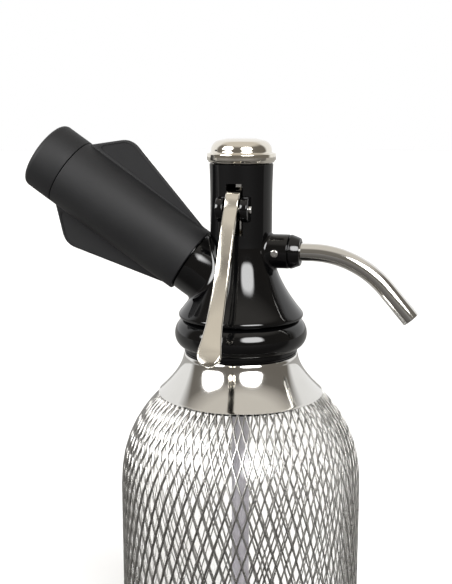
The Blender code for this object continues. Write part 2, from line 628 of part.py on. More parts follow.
def build_lever(lever_axis):
    """The lever's side outline and front outline are two plates, and the lever is what both hold."""
    finger_end = PIVOT_OUT + FINGER_REACH
    finger_top = FINGER_RISE + FINGER_T
    front = [(-2.8 * MM, finger_top - 2 * MM)] + [(-out, -down) for out, down in LEVER_FRONT]
    back = []
    for index in range(1, len(front)):
        before = Vector(front[index - 1])
        after = Vector(front[min(index + 1, len(front) - 1)])
        run = (after - before).normalized()
        thick = LEVER_T + (LEVER_TIP_T - LEVER_T) * (index - 1) / (len(front) - 2)
        back.append((front[index][0] - run.y * thick, front[index][1] + run.x * thick))
    hub = arc((0, 0), (LEVER_HUB_R, LEVER_HUB_R), -60, 0, 3)
    side = [(finger_end, finger_top), (-1.2 * MM, finger_top)] + front + back[::-1] + hub
    side += [(LEVER_HUB_R, FINGER_RISE), (finger_end, FINGER_RISE)]
    lever = plate("lever", side, 4 * LEVER_TIP_W, SIDE_VIEW, NICKEL, lever_axis)

    tip_r = LEVER_TIP_W / 2
    tip_z = -LEVER_FRONT[-1][1] + tip_r - 0.4 * MM
    right = [(LEVER_W / 2, 2 * finger_top), (LEVER_W / 2, tip_z + 34 * MM), (LEVER_W / 2 + 0.3 * MM, tip_z + 16 * MM),
             (tip_r - 0.9 * MM, tip_z + 6 * MM)]
    right += arc((0, tip_z), (tip_r, tip_r), 0, -75, 5)
    outline = right + [(-x, z) for x, z in right[::-1]]
    front_plate = plate("lever_front", outline, 8 * PIVOT_OUT, Matrix.Rotation(QUARTER, 4, "X"), None, lever_axis)
    combine(lever, front_plate, "INTERSECT")

    fork_w = ROD_R + 0.4 * MM
    fork = block("lever_fork", (-fork_w, PIVOT_OUT - ROD_R - 1.2 * MM, FINGER_RISE - CUT_OVER),
                 (fork_w, finger_end + CUT_OVER, finger_top + CUT_OVER), lever_axis)
    turn_axis = empty_at("lever_hole_axis", (0, -PIVOT_OUT, PIVOT_Z), (0, QUARTER, 0))
    hole = rod("lever_hole", LEVER_PIN_R + GAP, -TUBE_R, TUBE_R, SMALL_STEPS, None, turn_axis)
    cut(lever, fork, hole)
    reach = SLOT_W / 2 + LUG_STEP + LUG_T + LEVER_PIN_OUT
    rod("lever_pin", LEVER_PIN_R, -reach, reach, SMALL_STEPS, STEEL, turn_axis)


def build_cap(head):
    rim_z = CAP_Z + CAP_RIM_H
    side_z = CAP_Z + CAP_SIDE_H
    dome = arc((0, side_z), (CAP_DOME_R, CAP_CROWN_H), 90, 0, 5)
    outside = dome + [(CAP_DOME_R, rim_z + 0.5 * MM), (CAP_RIM_R, rim_z), (CAP_RIM_R, CAP_Z + 1 * MM),
                      (CAP_LIP_R, CAP_Z + 0.7 * MM), (CAP_LIP_R, CAP_Z)]
    inner_r = CAP_SPIGOT_R + GAP
    roof_z = CAP_Z + CAP_ROOF_H
    inside = [(inner_r, CAP_Z), (inner_r, roof_z), (0.0, roof_z)]
    turned("top_cap", outside + inside, HEAD_STEPS, NICKEL, head)
    washer_z = TUBE_TOP_Z + CAP_SPIGOT_H + GAP
    ring("cap_washer", CHAMBER_R, CAP_SPIGOT_R, washer_z, washer_z + WASHER_T, HEAD_STEPS, SEAL_RUBBER, head)


# ---------------------------------------------------------------- spout

def build_spout(spout):
    """Built along the spout axis's own Z, which points along +X."""
    bore_r = SPOUT_R + GAP
    recess_r = SOCKET_STEM_R + GAP
    recess_z = SOCKET_END - SOCKET_RECESS
    socket = rod("spout_socket", SOCKET_R, CHAMBER_R, SOCKET_END, HEAD_STEPS, GLOSS_BLACK, spout)
    cut(socket, head_keep_out("spout_saddle", None))
    join(socket, rod("spout_stem", SOCKET_STEM_R, SOCKET_STEM_START, recess_z - 1 * MM, SMALL_STEPS, None, spout))
    bore = [(0.0, SOCKET_END + CUT_OVER), (recess_r, SOCKET_END + CUT_OVER), (recess_r, recess_z),
            (bore_r, recess_z), (bore_r, 0.0), (0.0, 0.0)]
    cut(socket, turned("spout_bore", bore, SMALL_STEPS, None, spout))
    screw_axis = empty_at("spout_screw_axis", (SCREW_OUT, 0, MOUTH_Z + SPOUT_RISE), (QUARTER, 0, 0))
    cut(socket, rod("screw_hole", SCREW_R + GAP, 0.0, SOCKET_R + CUT_OVER, SMALL_STEPS, None, screw_axis))
    head_low = SOCKET_R + GAP
    screw = [(0.0, head_low + 0.9 * MM), (SCREW_HEAD_R - 0.4 * MM, head_low + 0.9 * MM),
             (SCREW_HEAD_R, head_low + 0.4 * MM), (SCREW_HEAD_R, head_low), (SCREW_R, head_low),
             (SCREW_R, SPOUT_R + 2 * GAP), (0.0, SPOUT_R + 2 * GAP)]
    turned("spout_screw", screw, SMALL_STEPS, STEEL, screw_axis)

    nut_z = SOCKET_END + GAP
    nut_low = recess_z + 2 * GAP + SPOUT_SEAL_T
    nut = [(NUT_END_R, nut_z + NUT_H), (SOCKET_R, nut_z), (SOCKET_STEM_R, nut_z), (SOCKET_STEM_R, nut_low),
           (bore_r, nut_low), (bore_r, nut_z + NUT_H)]
    turned("spout_nut", nut, HEAD_STEPS, GLOSS_BLACK, spout)
    ring("spout_seal", bore_r, SOCKET_STEM_R, recess_z + GAP, recess_z + GAP + SPOUT_SEAL_T, SMALL_STEPS,
         SEAL_RUBBER, spout)


def spout_path(start, tail):
    """The spout's centre line in the XZ plane: straight, one round bend down, straight again."""
    height = MOUTH_Z + SPOUT_RISE
    path = [(start, 0, height)]
    steps = 12
    for step in range(steps + 1):
        angle = SPOUT_BEND * step / steps
        path.append((SPOUT_BEND_START + SPOUT_BEND_R * math.sin(angle), 0,
                     height - SPOUT_BEND_R * (1 - math.cos(angle))))
    end = path[-1]
    return path + [(end[0] + tail * math.cos(SPOUT_BEND), 0, end[2] - tail * math.sin(SPOUT_BEND))]


def build_spout_tube():
    tube = pipe("spout_tube", spout_path(SPOUT_START, SPOUT_TAIL), SPOUT_R, 12, STEEL)
    path = spout_path(SPOUT_START - CUT_OVER, SPOUT_TAIL + CUT_OVER)
    cut(tube, pipe("spout_tube_bore", path, SPOUT_R - SPOUT_WALL, 12))


# ---------------------------------------------------------------- charger inlet and holder

def build_inlet(holder):
    inlet = rod("charger_inlet", INLET_R, INLET_STEM_START / 2, SLEEVE_START - GAP, HEAD_STEPS, GLOSS_BLACK, holder)
    cut(inlet, head_keep_out("inlet_saddle", None))
    thread = rod("inlet_thread", INLET_THREAD_R, SLEEVE_START - 1 * MM, INLET_END, HEAD_STEPS, None, holder)
    stem = rod("inlet_stem", INLET_STEM_R, INLET_STEM_START, CHECK_START + 4 * MM, SMALL_STEPS, None, holder)
    join(inlet, thread, stem)
    recess_r = CHARGER_R + CHARGER_PLAY
    bores = [(0.0, INLET_END + CUT_OVER), (recess_r, INLET_END + CUT_OVER), (recess_r, RECESS_START),
             (PIN_BORE_R, RECESS_START), (PIN_BORE_R, PIN_START), (CHECK_BORE_R, PIN_START),
             (CHECK_BORE_R, CHECK_START), (GAS_BORE_R, CHECK_START), (GAS_BORE_R, 0.0), (0.0, 0.0)]
    cut(inlet, turned("inlet_bores", bores, SMALL_STEPS, None, holder))

    ring("check_valve", GAS_BORE_R, CHECK_BORE_R - GAP, CHECK_START + GAP, PIN_START - GAP, SMALL_STEPS,
         SEAL_RUBBER, holder)
    gasket_low = RECESS_START + GAP
    gasket_high = gasket_low + CHARGER_GASKET_T
    plate_top = PIN_START + GAP + PIN_PLATE_T
    needle = [(0.0, gasket_high), (PIN_NEEDLE_R / 2, gasket_high - 1 * MM), (PIN_NEEDLE_R, gasket_high - 2 * MM),
              (PIN_NEEDLE_R, plate_top), (PIN_BORE_R - GAP, plate_top), (PIN_BORE_R - GAP, PIN_START + GAP),
              (0.0, PIN_START + GAP)]
    turned("piercing_pin", needle, SMALL_STEPS, STEEL, holder)
    ring("charger_gasket", PIN_NEEDLE_R + 2 * GAP, CHARGER_R, gasket_low, gasket_high, SMALL_STEPS,
         SEAL_RUBBER, holder)


def build_charger(holder):
    """The steel gas bulb, open at the hole that the pin has made in its nose."""
    def bulb(radius, neck_r, start, end):
        shoulder = start + 7.5 * MM
        points = arc((0, end - radius * 0.8), (radius, radius * 0.8), 90, 0, 4)
        return points + [(radius, shoulder + 9 * MM), (radius * 0.8, shoulder + 4 * MM), (neck_r, shoulder),
                         (neck_r, start)]
    outside = bulb(CHARGER_R, CHARGER_NECK_R, CHARGER_START, CHARGER_END)
    inside = bulb(CHARGER_R - CHARGER_WALL, CHARGER_NECK_R - CHARGER_WALL, CHARGER_START + CHARGER_WALL,
                  CHARGER_END - CHARGER_WALL)
    mouth = [(CHARGER_HOLE_R, CHARGER_START), (CHARGER_HOLE_R, CHARGER_START + CHARGER_WALL)]
    turned("gas_charger", outside + mouth + inside[::-1], HEAD_STEPS, STEEL, holder)


def build_holder(holder):
    sleeve = [(SLEEVE_END_R, SLEEVE_END), (SLEEVE_R, SLEEVE_START + 0.6 * MM), (SLEEVE_R - 0.6 * MM, SLEEVE_START),
              (SLEEVE_IN_R, SLEEVE_START), (SLEEVE_IN_R, SLEEVE_END)]
    sleeve_obj = turned("holder_sleeve", sleeve, HEAD_STEPS, MATTE_BLACK, holder)
    root_r = SLEEVE_R - SLEEVE_WALL / 2
    start = (SLEEVE_R, SLEEVE_START + FIN_INSET)
    corner = (SLEEVE_R + FIN_H, SLEEVE_END - FIN_PEAK_BACK)
    end = (SLEEVE_END_R, SLEEVE_END - 1 * MM)
    tip = rounded(start, corner, end, FIN_CORNER_R, 6)
    fin = [(root_r, start[1])] + [start] + tip + [end, (root_r, end[1])]
    flat = Matrix.Rotation(QUARTER, 4, "X")
    for turn, name in ((0.0, "fin_up"), (math.pi, "fin_down")):
        join(sleeve_obj, plate(name, fin, FIN_T, Matrix.Rotation(turn, 4, "Z") @ flat, None, holder))

    cap_z = SLEEVE_END + GAP
    cap_top = cap_z + HOLDER_CAP_L
    spigot_r = SLEEVE_IN_R - GAP
    spigot_low = cap_z - HOLDER_CAP_SPIGOT
    hollow_r = CHARGER_R + CHARGER_PLAY
    edge = HOLDER_CAP_ROUND
    top = [(0.0, cap_top)] + arc((SLEEVE_END_R - edge, cap_top - edge), (edge, edge), 90, 0, 4)
    roof_z = cap_top - HOLDER_CAP_T
    cap = top + [(SLEEVE_END_R, cap_z), (spigot_r, cap_z), (spigot_r, spigot_low), (hollow_r, spigot_low),
                 (hollow_r, roof_z), (0.0, roof_z)]
    turned("holder_cap", cap, HEAD_STEPS, MATTE_BLACK, holder)
    ring("charger_liner", hollow_r, spigot_r, INLET_END + 2 * GAP, spigot_low - GAP, HEAD_STEPS, ALUMINIUM, holder)


# ---------------------------------------------------------------- build

clear_scene()
PARTS = make_collection("soda_siphon")
CUTTERS = make_collection("cutters")

GLOSS_BLACK = finish_of("gloss_black", (0.012, 0.012, 0.013), 0.08)
MATTE_BLACK = finish_of("matte_black", (0.03, 0.03, 0.032), 0.5)
NICKEL = finish_of("polished_nickel", (0.72, 0.69, 0.63), 0.1, 1.0)
STEEL = finish_of("polished_steel", (0.66, 0.65, 0.63), 0.15, 1.0)
MESH_STEEL = finish_of("mesh_steel", (0.7, 0.69, 0.67), 0.25, 1.0)
BRASS = finish_of("brass", (0.7, 0.55, 0.28), 0.3, 1.0)
ALUMINIUM = finish_of("aluminium", (0.75, 0.75, 0.76), 0.35, 1.0)
GLASS = finish_of("clear_glass", (0.9, 0.92, 0.92), 0.02)
FOOT_RUBBER = finish_of("foot_rubber", (0.03, 0.03, 0.03), 0.8)
SEAL_RUBBER = finish_of("seal_rubber", (0.05, 0.05, 0.05), 0.7)
WHITE_PLASTIC = finish_of("white_plastic", (0.8, 0.8, 0.78), 0.4)
RISER_PLASTIC = finish_of("riser_plastic", (0.6, 0.58, 0.62), 0.35)

HOLDER_PLACE = ((0, 0, MOUTH_Z + HOLDER_RISE), (0, HOLDER_TILT - QUARTER, 0))
# Turns a flat outline of (y, height) to stand in the YZ plane.
SIDE_VIEW = Matrix(((0, 0, 1, 0), (1, 0, 0, 0), (0, 1, 0, 0), (0, 0, 0, 1)))

head_axis = empty_at("head_axis", (0, 0, 0))
lever_axis = empty_at("lever_axis", (0, -PIVOT_OUT, PIVOT_Z))
spout_axis = empty_at("spout_axis", (0, 0, MOUTH_Z + SPOUT_RISE), (0, QUARTER, 0))
holder_axis = empty_at("holder_axis", *HOLDER_PLACE)

build_foot_and_cup()
build_glass_and_mesh()
build_collar_and_ring()
build_head(head_axis)
build_riser(head_axis)
build_valve(head_axis)
build_lever(lever_axis)
build_cap(head_axis)
build_spout(spout_axis)
build_spout_tube()
build_inlet(holder_axis)
build_charger(holder_axis)
build_holder(holder_axis)
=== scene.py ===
# %% [markdown]
# # A glass soda siphon in a steel mesh
# The finished part is a one-litre glass bottle in a sleeve of expanded steel, with a black head,
# a nickel-plated lever, a steel spout and a finned holder for the gas charger.  The engineering
# model gives every piece its place and its motion, but its round shapes have few sides.  Here each
# piece that shows is made again, smooth and with its small edges rounded, in exactly the same place.

import json
import math

import bmesh
import bpy
import numpy as np
from mathutils import Matrix, Vector


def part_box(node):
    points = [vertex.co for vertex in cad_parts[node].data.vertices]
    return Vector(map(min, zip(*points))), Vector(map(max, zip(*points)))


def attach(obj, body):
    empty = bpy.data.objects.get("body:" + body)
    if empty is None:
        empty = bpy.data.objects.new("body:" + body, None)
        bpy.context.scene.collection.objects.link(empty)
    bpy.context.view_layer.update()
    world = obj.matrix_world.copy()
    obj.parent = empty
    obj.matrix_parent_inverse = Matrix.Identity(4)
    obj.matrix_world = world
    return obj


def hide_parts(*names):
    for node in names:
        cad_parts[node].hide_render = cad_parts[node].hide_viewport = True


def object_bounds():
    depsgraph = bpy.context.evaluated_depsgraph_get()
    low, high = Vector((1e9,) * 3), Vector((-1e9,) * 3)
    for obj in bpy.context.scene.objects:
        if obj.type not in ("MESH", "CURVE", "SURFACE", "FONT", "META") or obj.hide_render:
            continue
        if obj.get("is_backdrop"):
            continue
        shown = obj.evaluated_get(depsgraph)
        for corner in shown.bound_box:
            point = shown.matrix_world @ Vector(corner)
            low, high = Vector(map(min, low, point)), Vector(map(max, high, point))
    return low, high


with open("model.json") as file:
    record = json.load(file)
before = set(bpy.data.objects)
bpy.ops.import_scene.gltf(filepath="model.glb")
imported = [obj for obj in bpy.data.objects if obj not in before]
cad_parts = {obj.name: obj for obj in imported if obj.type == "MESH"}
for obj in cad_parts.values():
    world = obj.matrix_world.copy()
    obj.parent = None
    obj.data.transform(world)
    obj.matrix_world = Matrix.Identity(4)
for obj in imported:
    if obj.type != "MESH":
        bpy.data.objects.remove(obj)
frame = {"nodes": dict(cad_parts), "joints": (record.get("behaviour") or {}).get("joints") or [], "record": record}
cad_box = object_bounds()
scene = bpy.context.scene

# %% [markdown]
# ## Sizes
# Heights and radii that several pieces share are read from the frame once, so that a changed model
# moves them all.  MM keeps the small sizes readable: a maker thinks of a rim as 0.9 mm, not 0.0009 m.
# GAP is the clearance that is left between any two pieces that meet.

# %% Shared sizes
MM = 0.001
GAP = 0.3 * MM
FULL_TURN = 2 * math.pi
QUARTER = math.pi / 2
joints = {joint["name"]: joint for joint in frame["joints"]}
mouth_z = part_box("glass_bottle")[1].z
mesh_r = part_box("mesh_sleeve")[1].x
mesh_top_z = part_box("mesh_sleeve")[1].z
mesh_foot_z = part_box("mesh_sleeve")[0].z
cap_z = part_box("top_cap")[0].z
cap_top_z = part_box("top_cap")[1].z
skirt_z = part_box("head_body")[0].z
skirt_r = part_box("head_body")[1].x
tube_top_z = cap_z - GAP
pivot = Vector(joints["lever_press"]["pos_m"])
holder_from = Vector(joints["holder_turn"]["pos_m"])
holder_axis = Vector(joints["holder_turn"]["axis"]).normalized()
spout_z = sum(corner.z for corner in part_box("spout_nut")) / 2
print("mouth", round(mouth_z, 4), "mesh radius", round(mesh_r, 4), "spout height", round(spout_z, 4))

# %% [markdown]
# ## The view
# The camera stands a little above the head, about 13 degrees round from the lever towards the
# spout, and looks slightly down.  A lens near 62 mm on a full-frame sensor at this distance gives
# the same strong perspective as a product picture that is taken from close by.

# %% Camera
VIEW_TURN = math.radians(13.0)
VIEW_DISTANCE = 454 * MM
VIEW_HEIGHT = 322 * MM
VIEW_PITCH = math.radians(10.9)
VIEW_SWING = math.atan(0.0153)
lens_data = bpy.data.cameras.new("view")
lens_data.lens = 61.64
lens_data.sensor_width = 36.0
lens_data.clip_start = 0.01
view = bpy.data.objects.new("view", lens_data)
view.location = (VIEW_DISTANCE * math.sin(VIEW_TURN), -VIEW_DISTANCE * math.cos(VIEW_TURN), VIEW_HEIGHT)
view.rotation_euler = (QUARTER - VIEW_PITCH, 0, VIEW_TURN + VIEW_SWING)
scene.collection.objects.link(view)
scene.camera = view
scene.view_settings.view_transform = "Standard"
print("camera at", tuple(round(value, 3) for value in view.location))

# %% [markdown]
# ## Shader maths as Python
# A shader's numbers come from chains of Math nodes, which are hard to read in a script.  This small
# class wraps one output socket and overloads the operators, so that `1 - mask * 0.3` adds its Math
# nodes by itself.  `through` adds any other kind of node: its settings first, then its sockets.

# %% Signal class
class Signal:
    """One output socket of a shader tree, for use in sums."""

    def __init__(self, socket):
        self.socket = socket

    def through(self, kind, settings, values, output=0):
        tree = self.socket.id_data
        node = tree.nodes.new(kind)
        for key, value in settings.items():
            if key == "stops":
                for element, (position, colour) in zip(node.color_ramp.elements, value):
                    element.position = position
                    element.color = colour
            else:
                setattr(node, key, value)
        for key, value in values.items():
            if isinstance(value, Signal):
                tree.links.new(value.socket, node.inputs[key])
            else:
                node.inputs[key].default_value = value
        return Signal(node.outputs[output])

    def maths(self, operation, first, second):
        return self.through("ShaderNodeMath", {"operation": operation}, {0: first, 1: second})

    def __add__(self, other):
        return self.maths("ADD", self, other)

    __radd__ = __add__

    def __mul__(self, other):
        return self.maths("MULTIPLY", self, other)

    __rmul__ = __mul__

    def __sub__(self, other):
        return self.maths("SUBTRACT", self, other)

    def __rsub__(self, other):
        return self.maths("SUBTRACT", other, self)

    def __truediv__(self, other):
        return self.maths("DIVIDE", self, other)

    def __pow__(self, other):
        return self.maths("POWER", self, other)

    def __abs__(self):
        return self.maths("ABSOLUTE", self, 0.0)

    def clamped(self):
        return self.through("ShaderNodeClamp", {}, {"Value": self})

    def stretched(self, scale):
        """A place whose pattern is scaled differently along X, Y and Z."""
        return self.through("ShaderNodeMapping", {}, {"Vector": self, "Scale": scale})

    def noise(self, scale, detail=3.0, roughness=0.55):
        values = {"Vector": self, "Scale": scale, "Detail": detail, "Roughness": roughness}
        return self.through("ShaderNodeTexNoise", {"noise_dimensions": "3D"}, values)

    def between(self, low_colour, high_colour):
        """A colour between two, by this signal from 0 to 1."""
        values = {0: self, 6: (*low_colour, 1.0), 7: (*high_colour, 1.0)}
        return self.through("ShaderNodeMix", {"data_type": "RGBA"}, values, output=2)

    def bump(self, depth, strength=1.0):
        values = {"Height": self, "Strength": strength, "Distance": depth}
        return self.through("ShaderNodeBump", {}, values, output="Normal")


def new_finish(name, **fixed):
    """A Principled material with sockets set by name, its shader node and its Object coordinates."""
    material = bpy.data.materials.new(name)
    material.use_nodes = True
    tree = material.node_tree
    shader = tree.nodes["Principled BSDF"]
    for socket, value in fixed.items():
        shader.inputs[socket.replace("_", " ")].default_value = value
    place = Signal(tree.nodes.new("ShaderNodeTexCoord").outputs["Object"])
    return material, shader, place


def feed(shader, **signals):
    for socket, signal in signals.items():
        shader.id_data.links.new(signal.socket, shader.inputs[socket.replace("_", " ")])


print("operators ready:", [name for name in ("__add__", "__rsub__", "__mul__") if hasattr(Signal, name)])

# %% [markdown]
# ## Metals
# Nickel plate is a little yellow beside stainless steel.  Both are nearly mirrors: what tells the
# eye that they are metal is faint wiping marks, which change the roughness, and very fine lines
# from polishing, which bend the reflection.  The lines run round on turned pieces, so the pattern
# is stretched far more along Z than round it.

# %% Polished metals
def polished_metal(name, dark, light, rough_low, rough_high, line_scale, line_depth):
    """Metal with wiping marks in its roughness and fine polishing lines."""
    material, shader, place = new_finish(name, Metallic=1.0)
    wipe = place.noise(45.0, 3.0)
    haze = place.noise(420.0, 2.0)
    lines = place.stretched(line_scale).noise(1.0, 2.0)
    feed(shader,
         Base_Color=wipe.between(dark, light),
         Roughness=rough_low + (wipe * 0.6 + haze * 0.4) * (rough_high - rough_low),
         Normal=lines.bump(line_depth, 0.6))
    return material


nickel = polished_metal("polished_nickel", (0.74, 0.70, 0.62), (0.84, 0.80, 0.72), 0.05, 0.16,
                        (300, 300, 5200), 0.004 * MM)
steel = polished_metal("polished_steel", (0.66, 0.65, 0.62), (0.78, 0.77, 0.745), 0.04, 0.14,
                       (260, 260, 6500), 0.004 * MM)
spout_steel = polished_metal("spout_steel", (0.70, 0.69, 0.66), (0.80, 0.79, 0.76), 0.05, 0.13,
                             (900, 2600, 2600), 0.004 * MM)
mesh_steel = polished_metal("mesh_steel", (0.34, 0.333, 0.318), (0.47, 0.461, 0.443), 0.22, 0.34,
                            (900, 900, 900), 0.012 * MM)
brass = polished_metal("brass", (0.30, 0.21, 0.09), (0.44, 0.33, 0.15), 0.26, 0.42,
                       (400, 400, 9000), 0.01 * MM)
aluminium = polished_metal("aluminium", (0.66, 0.67, 0.68), (0.80, 0.80, 0.81), 0.24, 0.42,
                           (400, 400, 9000), 0.01 * MM)
print("metals:", [metal.name for metal in (nickel, steel, spout_steel, mesh_steel, brass, aluminium)])

# %% [markdown]
# ## Plastics and rubber
# The head is moulded in a glossy black that mirrors the room, so it has almost no colour of its own
# and only the faintest waviness.  The holder comes from a spark-eroded mould, whose fine grain
# scatters the light.  Rubber is rougher still, and the seals are slightly dusty.

# %% Plastics and rubber
def moulded(name, dark, light, rough_low, rough_high, grain, depth, **fixed):
    """Plastic or rubber with mottled colour, uneven gloss and a grain of its own size."""
    material, shader, place = new_finish(name, **fixed)
    mottle = place.noise(60.0, 3.0)
    fine = place.noise(grain, 3.0, 0.6)
    feed(shader,
         Base_Color=(mottle * 0.6 + fine * 0.4).between(dark, light),
         Roughness=rough_low + mottle * (rough_high - rough_low),
         Normal=fine.bump(depth))
    return material


gloss_black = moulded("gloss_black", (0.0006, 0.0006, 0.0007), (0.0018, 0.0018, 0.002), 0.04, 0.10,
                      140.0, 0.004 * MM, IOR=1.47)
matte_black = moulded("matte_black", (0.005, 0.005, 0.0053), (0.013, 0.013, 0.0137), 0.52, 0.62,
                      3200.0, 0.05 * MM, IOR=1.31)
foot_rubber = moulded("foot_rubber", (0.018, 0.018, 0.018), (0.04, 0.04, 0.04), 0.65, 0.9,
                      1500.0, 0.08 * MM)
seal_rubber = moulded("seal_rubber", (0.025, 0.025, 0.026), (0.06, 0.06, 0.06), 0.5, 0.8,
                      1800.0, 0.05 * MM)
white_plastic = moulded("white_plastic", (0.72, 0.72, 0.69), (0.84, 0.84, 0.81), 0.3, 0.45,
                        1400.0, 0.02 * MM)
riser_plastic = moulded("riser_plastic", (0.42, 0.40, 0.45), (0.58, 0.56, 0.61), 0.25, 0.4,
                        500.0, 0.02 * MM)
print("plastics:", [plastic.name for plastic in (gloss_black, matte_black, white_plastic, riser_plastic)])

# %% [markdown]
# ## Glass
# Bottle glass bends what is behind it and goes dark towards its edges, where one looks through more
# of the wall.  Full transmission with the index of soda-lime glass gives both, and a slow waviness
# in the surface is what tells pressed glass from a clean tube.

# %% Glass
glass, glass_shader, glass_place = new_finish(
    "clear_glass", Transmission_Weight=1.0, IOR=1.5, Roughness=0.0)
glass_wave = glass_place.stretched((60, 60, 25)).noise(1.0, 2.0)
feed(glass_shader,
     Base_Color=glass_wave.between((0.955, 0.955, 0.945), (0.995, 0.992, 0.985)),
     Normal=glass_wave.bump(0.10 * MM, 0.5))
print("glass index", glass_shader.inputs["IOR"].default_value)

# %% [markdown]
# ## Tools for turned pieces
# Most pieces are round, so one function turns a closed outline of (radius, height) about Z, with a
# single vertex wherever the outline meets the axis.  No real edge is quite sharp: `softened` trades
# each corner for a small curve, which is what catches the light on a rim.

# %% Outlines and turning
TURN_STEPS = 128


def softened(outline, size, parts=3, closed=True):
    """Round the corners of an outline; size limits how far each curve reaches along its sides."""
    points = [Vector(point) for point in outline]
    count = len(points)
    result = []
    for index, corner in enumerate(points):
        at_end = not closed and index in (0, count - 1)
        before = points[index - 1] - corner
        after = points[(index + 1) % count] - corner
        straight = before.length < 1e-9 or after.length < 1e-9 or before.angle(after) > math.radians(158)
        if at_end or corner.x < 1e-9 or straight:
            result.append(tuple(corner))
            continue
        start = corner + before.normalized() * min(size, before.length * 0.45)
        end = corner + after.normalized() * min(size, after.length * 0.45)
        for step in range(parts + 1):
            t = step / parts
            result.append(tuple(start * (1 - t) ** 2 + corner * 2 * t * (1 - t) + end * t * t))
    return result


def bent(centre, radii, start, end, count):
    """Points along part of an ellipse, with angles in degrees from +radius towards +height."""
    angles = np.radians(np.linspace(start, end, count + 1))
    return [(centre[0] + radii[0] * math.cos(a), centre[1] + radii[1] * math.sin(a)) for a in angles]


def finished(name, vertices, faces, turn=None):
    """A closed mesh object at the origin with its normals outwards and its edges smooth."""
    mesh = bpy.data.meshes.new(name)
    mesh.from_pydata(vertices, [], faces)
    work = bmesh.new()
    work.from_mesh(mesh)
    bmesh.ops.remove_doubles(work, verts=work.verts, dist=1e-7)
    if turn is not None:
        bmesh.ops.transform(work, matrix=turn, verts=work.verts)
    bmesh.ops.recalc_face_normals(work, faces=work.faces)
    work.to_mesh(mesh)
    work.free()
    made = bpy.data.objects.new(name, mesh)
    scene.collection.objects.link(made)
    smooth(made)
    return made


def smooth(made, angle=42):
    made.data.shade_smooth()
    made.data.set_sharp_from_angle(angle=math.radians(angle))


def turned(name, outline, turn=None, steps=TURN_STEPS, thread=None):
    """Turn a closed outline about Z.  A thread is (radius, low, high, pitch, depth)."""
    vertices = []
    rings = []
    for radius, height in outline:
        if radius < 1e-9:
            rings.append([len(vertices)])
            vertices.append((0.0, 0.0, height))
            continue
        rings.append(list(range(len(vertices), len(vertices) + steps)))
        for step in range(steps):
            angle = FULL_TURN * step / steps
            reach = radius
            if thread and abs(radius - thread[0]) < 1e-6 and thread[1] < height < thread[2]:
                turns = (height - thread[1]) / thread[3] - step / steps
                reach += thread[4] * (abs((turns % 1.0) * 2 - 1) * 2 - 1)
            vertices.append((reach * math.cos(angle), reach * math.sin(angle), height))
    faces = []
    for first, second in zip(rings, rings[1:] + rings[:1]):
        if len(first) == 1 and len(second) == 1:
            continue
        for step in range(steps):
            following = (step + 1) % steps
            ends = ([first[0]] if len(first) == 1 else [first[step], first[following]])
            ends += ([second[0]] if len(second) == 1 else [second[following], second[step]])
            faces.append(ends)
    return finished(name, vertices, faces, turn)


def upright(low_z, high_z, radius, rows):
    """Points down a straight wall, close enough together to carry a thread."""
    return [(radius, z) for z in np.linspace(high_z, low_z, rows)]


def along(origin, axis):
    """The matrix that puts local Z on an axis, with local X in the upright plane through it."""
    sideways = Vector((0, 1, 0))
    across = sideways.cross(axis).normalized()
    return Matrix.Translation(origin) @ Matrix((across, sideways, axis)).transposed().to_4x4()


def settle(piece, material, body, slot, *nodes):
    """Give a finished piece its material and its body, and hide the nodes that it stands for; the slot argument is
    not used.
    """
    piece.data.materials.clear()
    piece.data.materials.append(material)
    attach(piece, body)
    if nodes:
        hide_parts(*nodes)
    print(f"{piece.name}: {len(piece.data.polygons)} faces")
    return piece


print("turning with", TURN_STEPS, "steps")

# %% [markdown]
# ## Foot and base cup
# The bottle stands in a shallow cup of polished steel on a rubber foot.  The cup's upper edge is
# hemmed outwards, as thin sheet is to make it stiff and safe to touch, and the foot has two grooves
# underneath so that it doesn't stick to a wet table.

# %% Foot and cup
foot_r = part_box("foot_pad")[1].x
foot_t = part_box("foot_pad")[1].z
GROOVE_W = 2.4 * MM
GROOVE_H = 0.9 * MM
GROOVE_SLOPE = 0.6 * MM
tread = []
for groove_r in (45.2 * MM, 37.0 * MM):
    tread += [(groove_r, 0.0), (groove_r - GROOVE_SLOPE, GROOVE_H),
              (groove_r - GROOVE_W + GROOVE_SLOPE, GROOVE_H), (groove_r - GROOVE_W, 0.0)]
foot_outline = [(0.0, foot_t), (foot_r - 0.6 * MM, foot_t), (foot_r, 1.2 * MM), (foot_r - 1 * MM, 0.0)]
foot = turned("foot_ring", softened(foot_outline + tread + [(0.0, 0.0)], 0.5 * MM))
settle(foot, foot_rubber, "bottle", "foot_rubber", "foot_pad")

cup_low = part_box("base_cup")[0].z
cup_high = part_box("base_cup")[1].z
cup_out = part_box("base_cup")[1].x
CUP_T = 0.9 * MM
CUP_CORNER = 4 * MM
HEM_R = 0.75 * MM
HEM_H = 2.2 * MM
cup_in = cup_out - CUP_T
cup_floor_z = cup_low + CUP_T
corner_radii = (CUP_CORNER, CUP_CORNER)
cup_outline = [(0.0, cup_floor_z)]
cup_outline += bent((cup_in - CUP_CORNER, cup_floor_z + CUP_CORNER), corner_radii, -90, 0, 8)
cup_outline += bent((cup_in + HEM_R, cup_high - HEM_R), (HEM_R, HEM_R), 180, -40, 12)
cup_outline += [(cup_out, cup_high - HEM_H)]
cup_outline += bent((cup_out - CUP_CORNER, cup_low + CUP_CORNER), corner_radii, 0, -90, 8)
cup = turned("steel_cup", cup_outline + [(0.0, cup_low)])
settle(cup, steel, "bottle", "polished_steel", "base_cup")

# %% [markdown]
# ## Glass bottle
# The bottle is pressed glass, 3.4 mm thick because it holds gas pressure.  Its wall follows the
# mesh: straight, then a shoulder whose radius falls late, then a hollow curve up to the neck and a
# bead that the clamp grips.  The same rule gives the mesh, the outer wall and the inner wall.

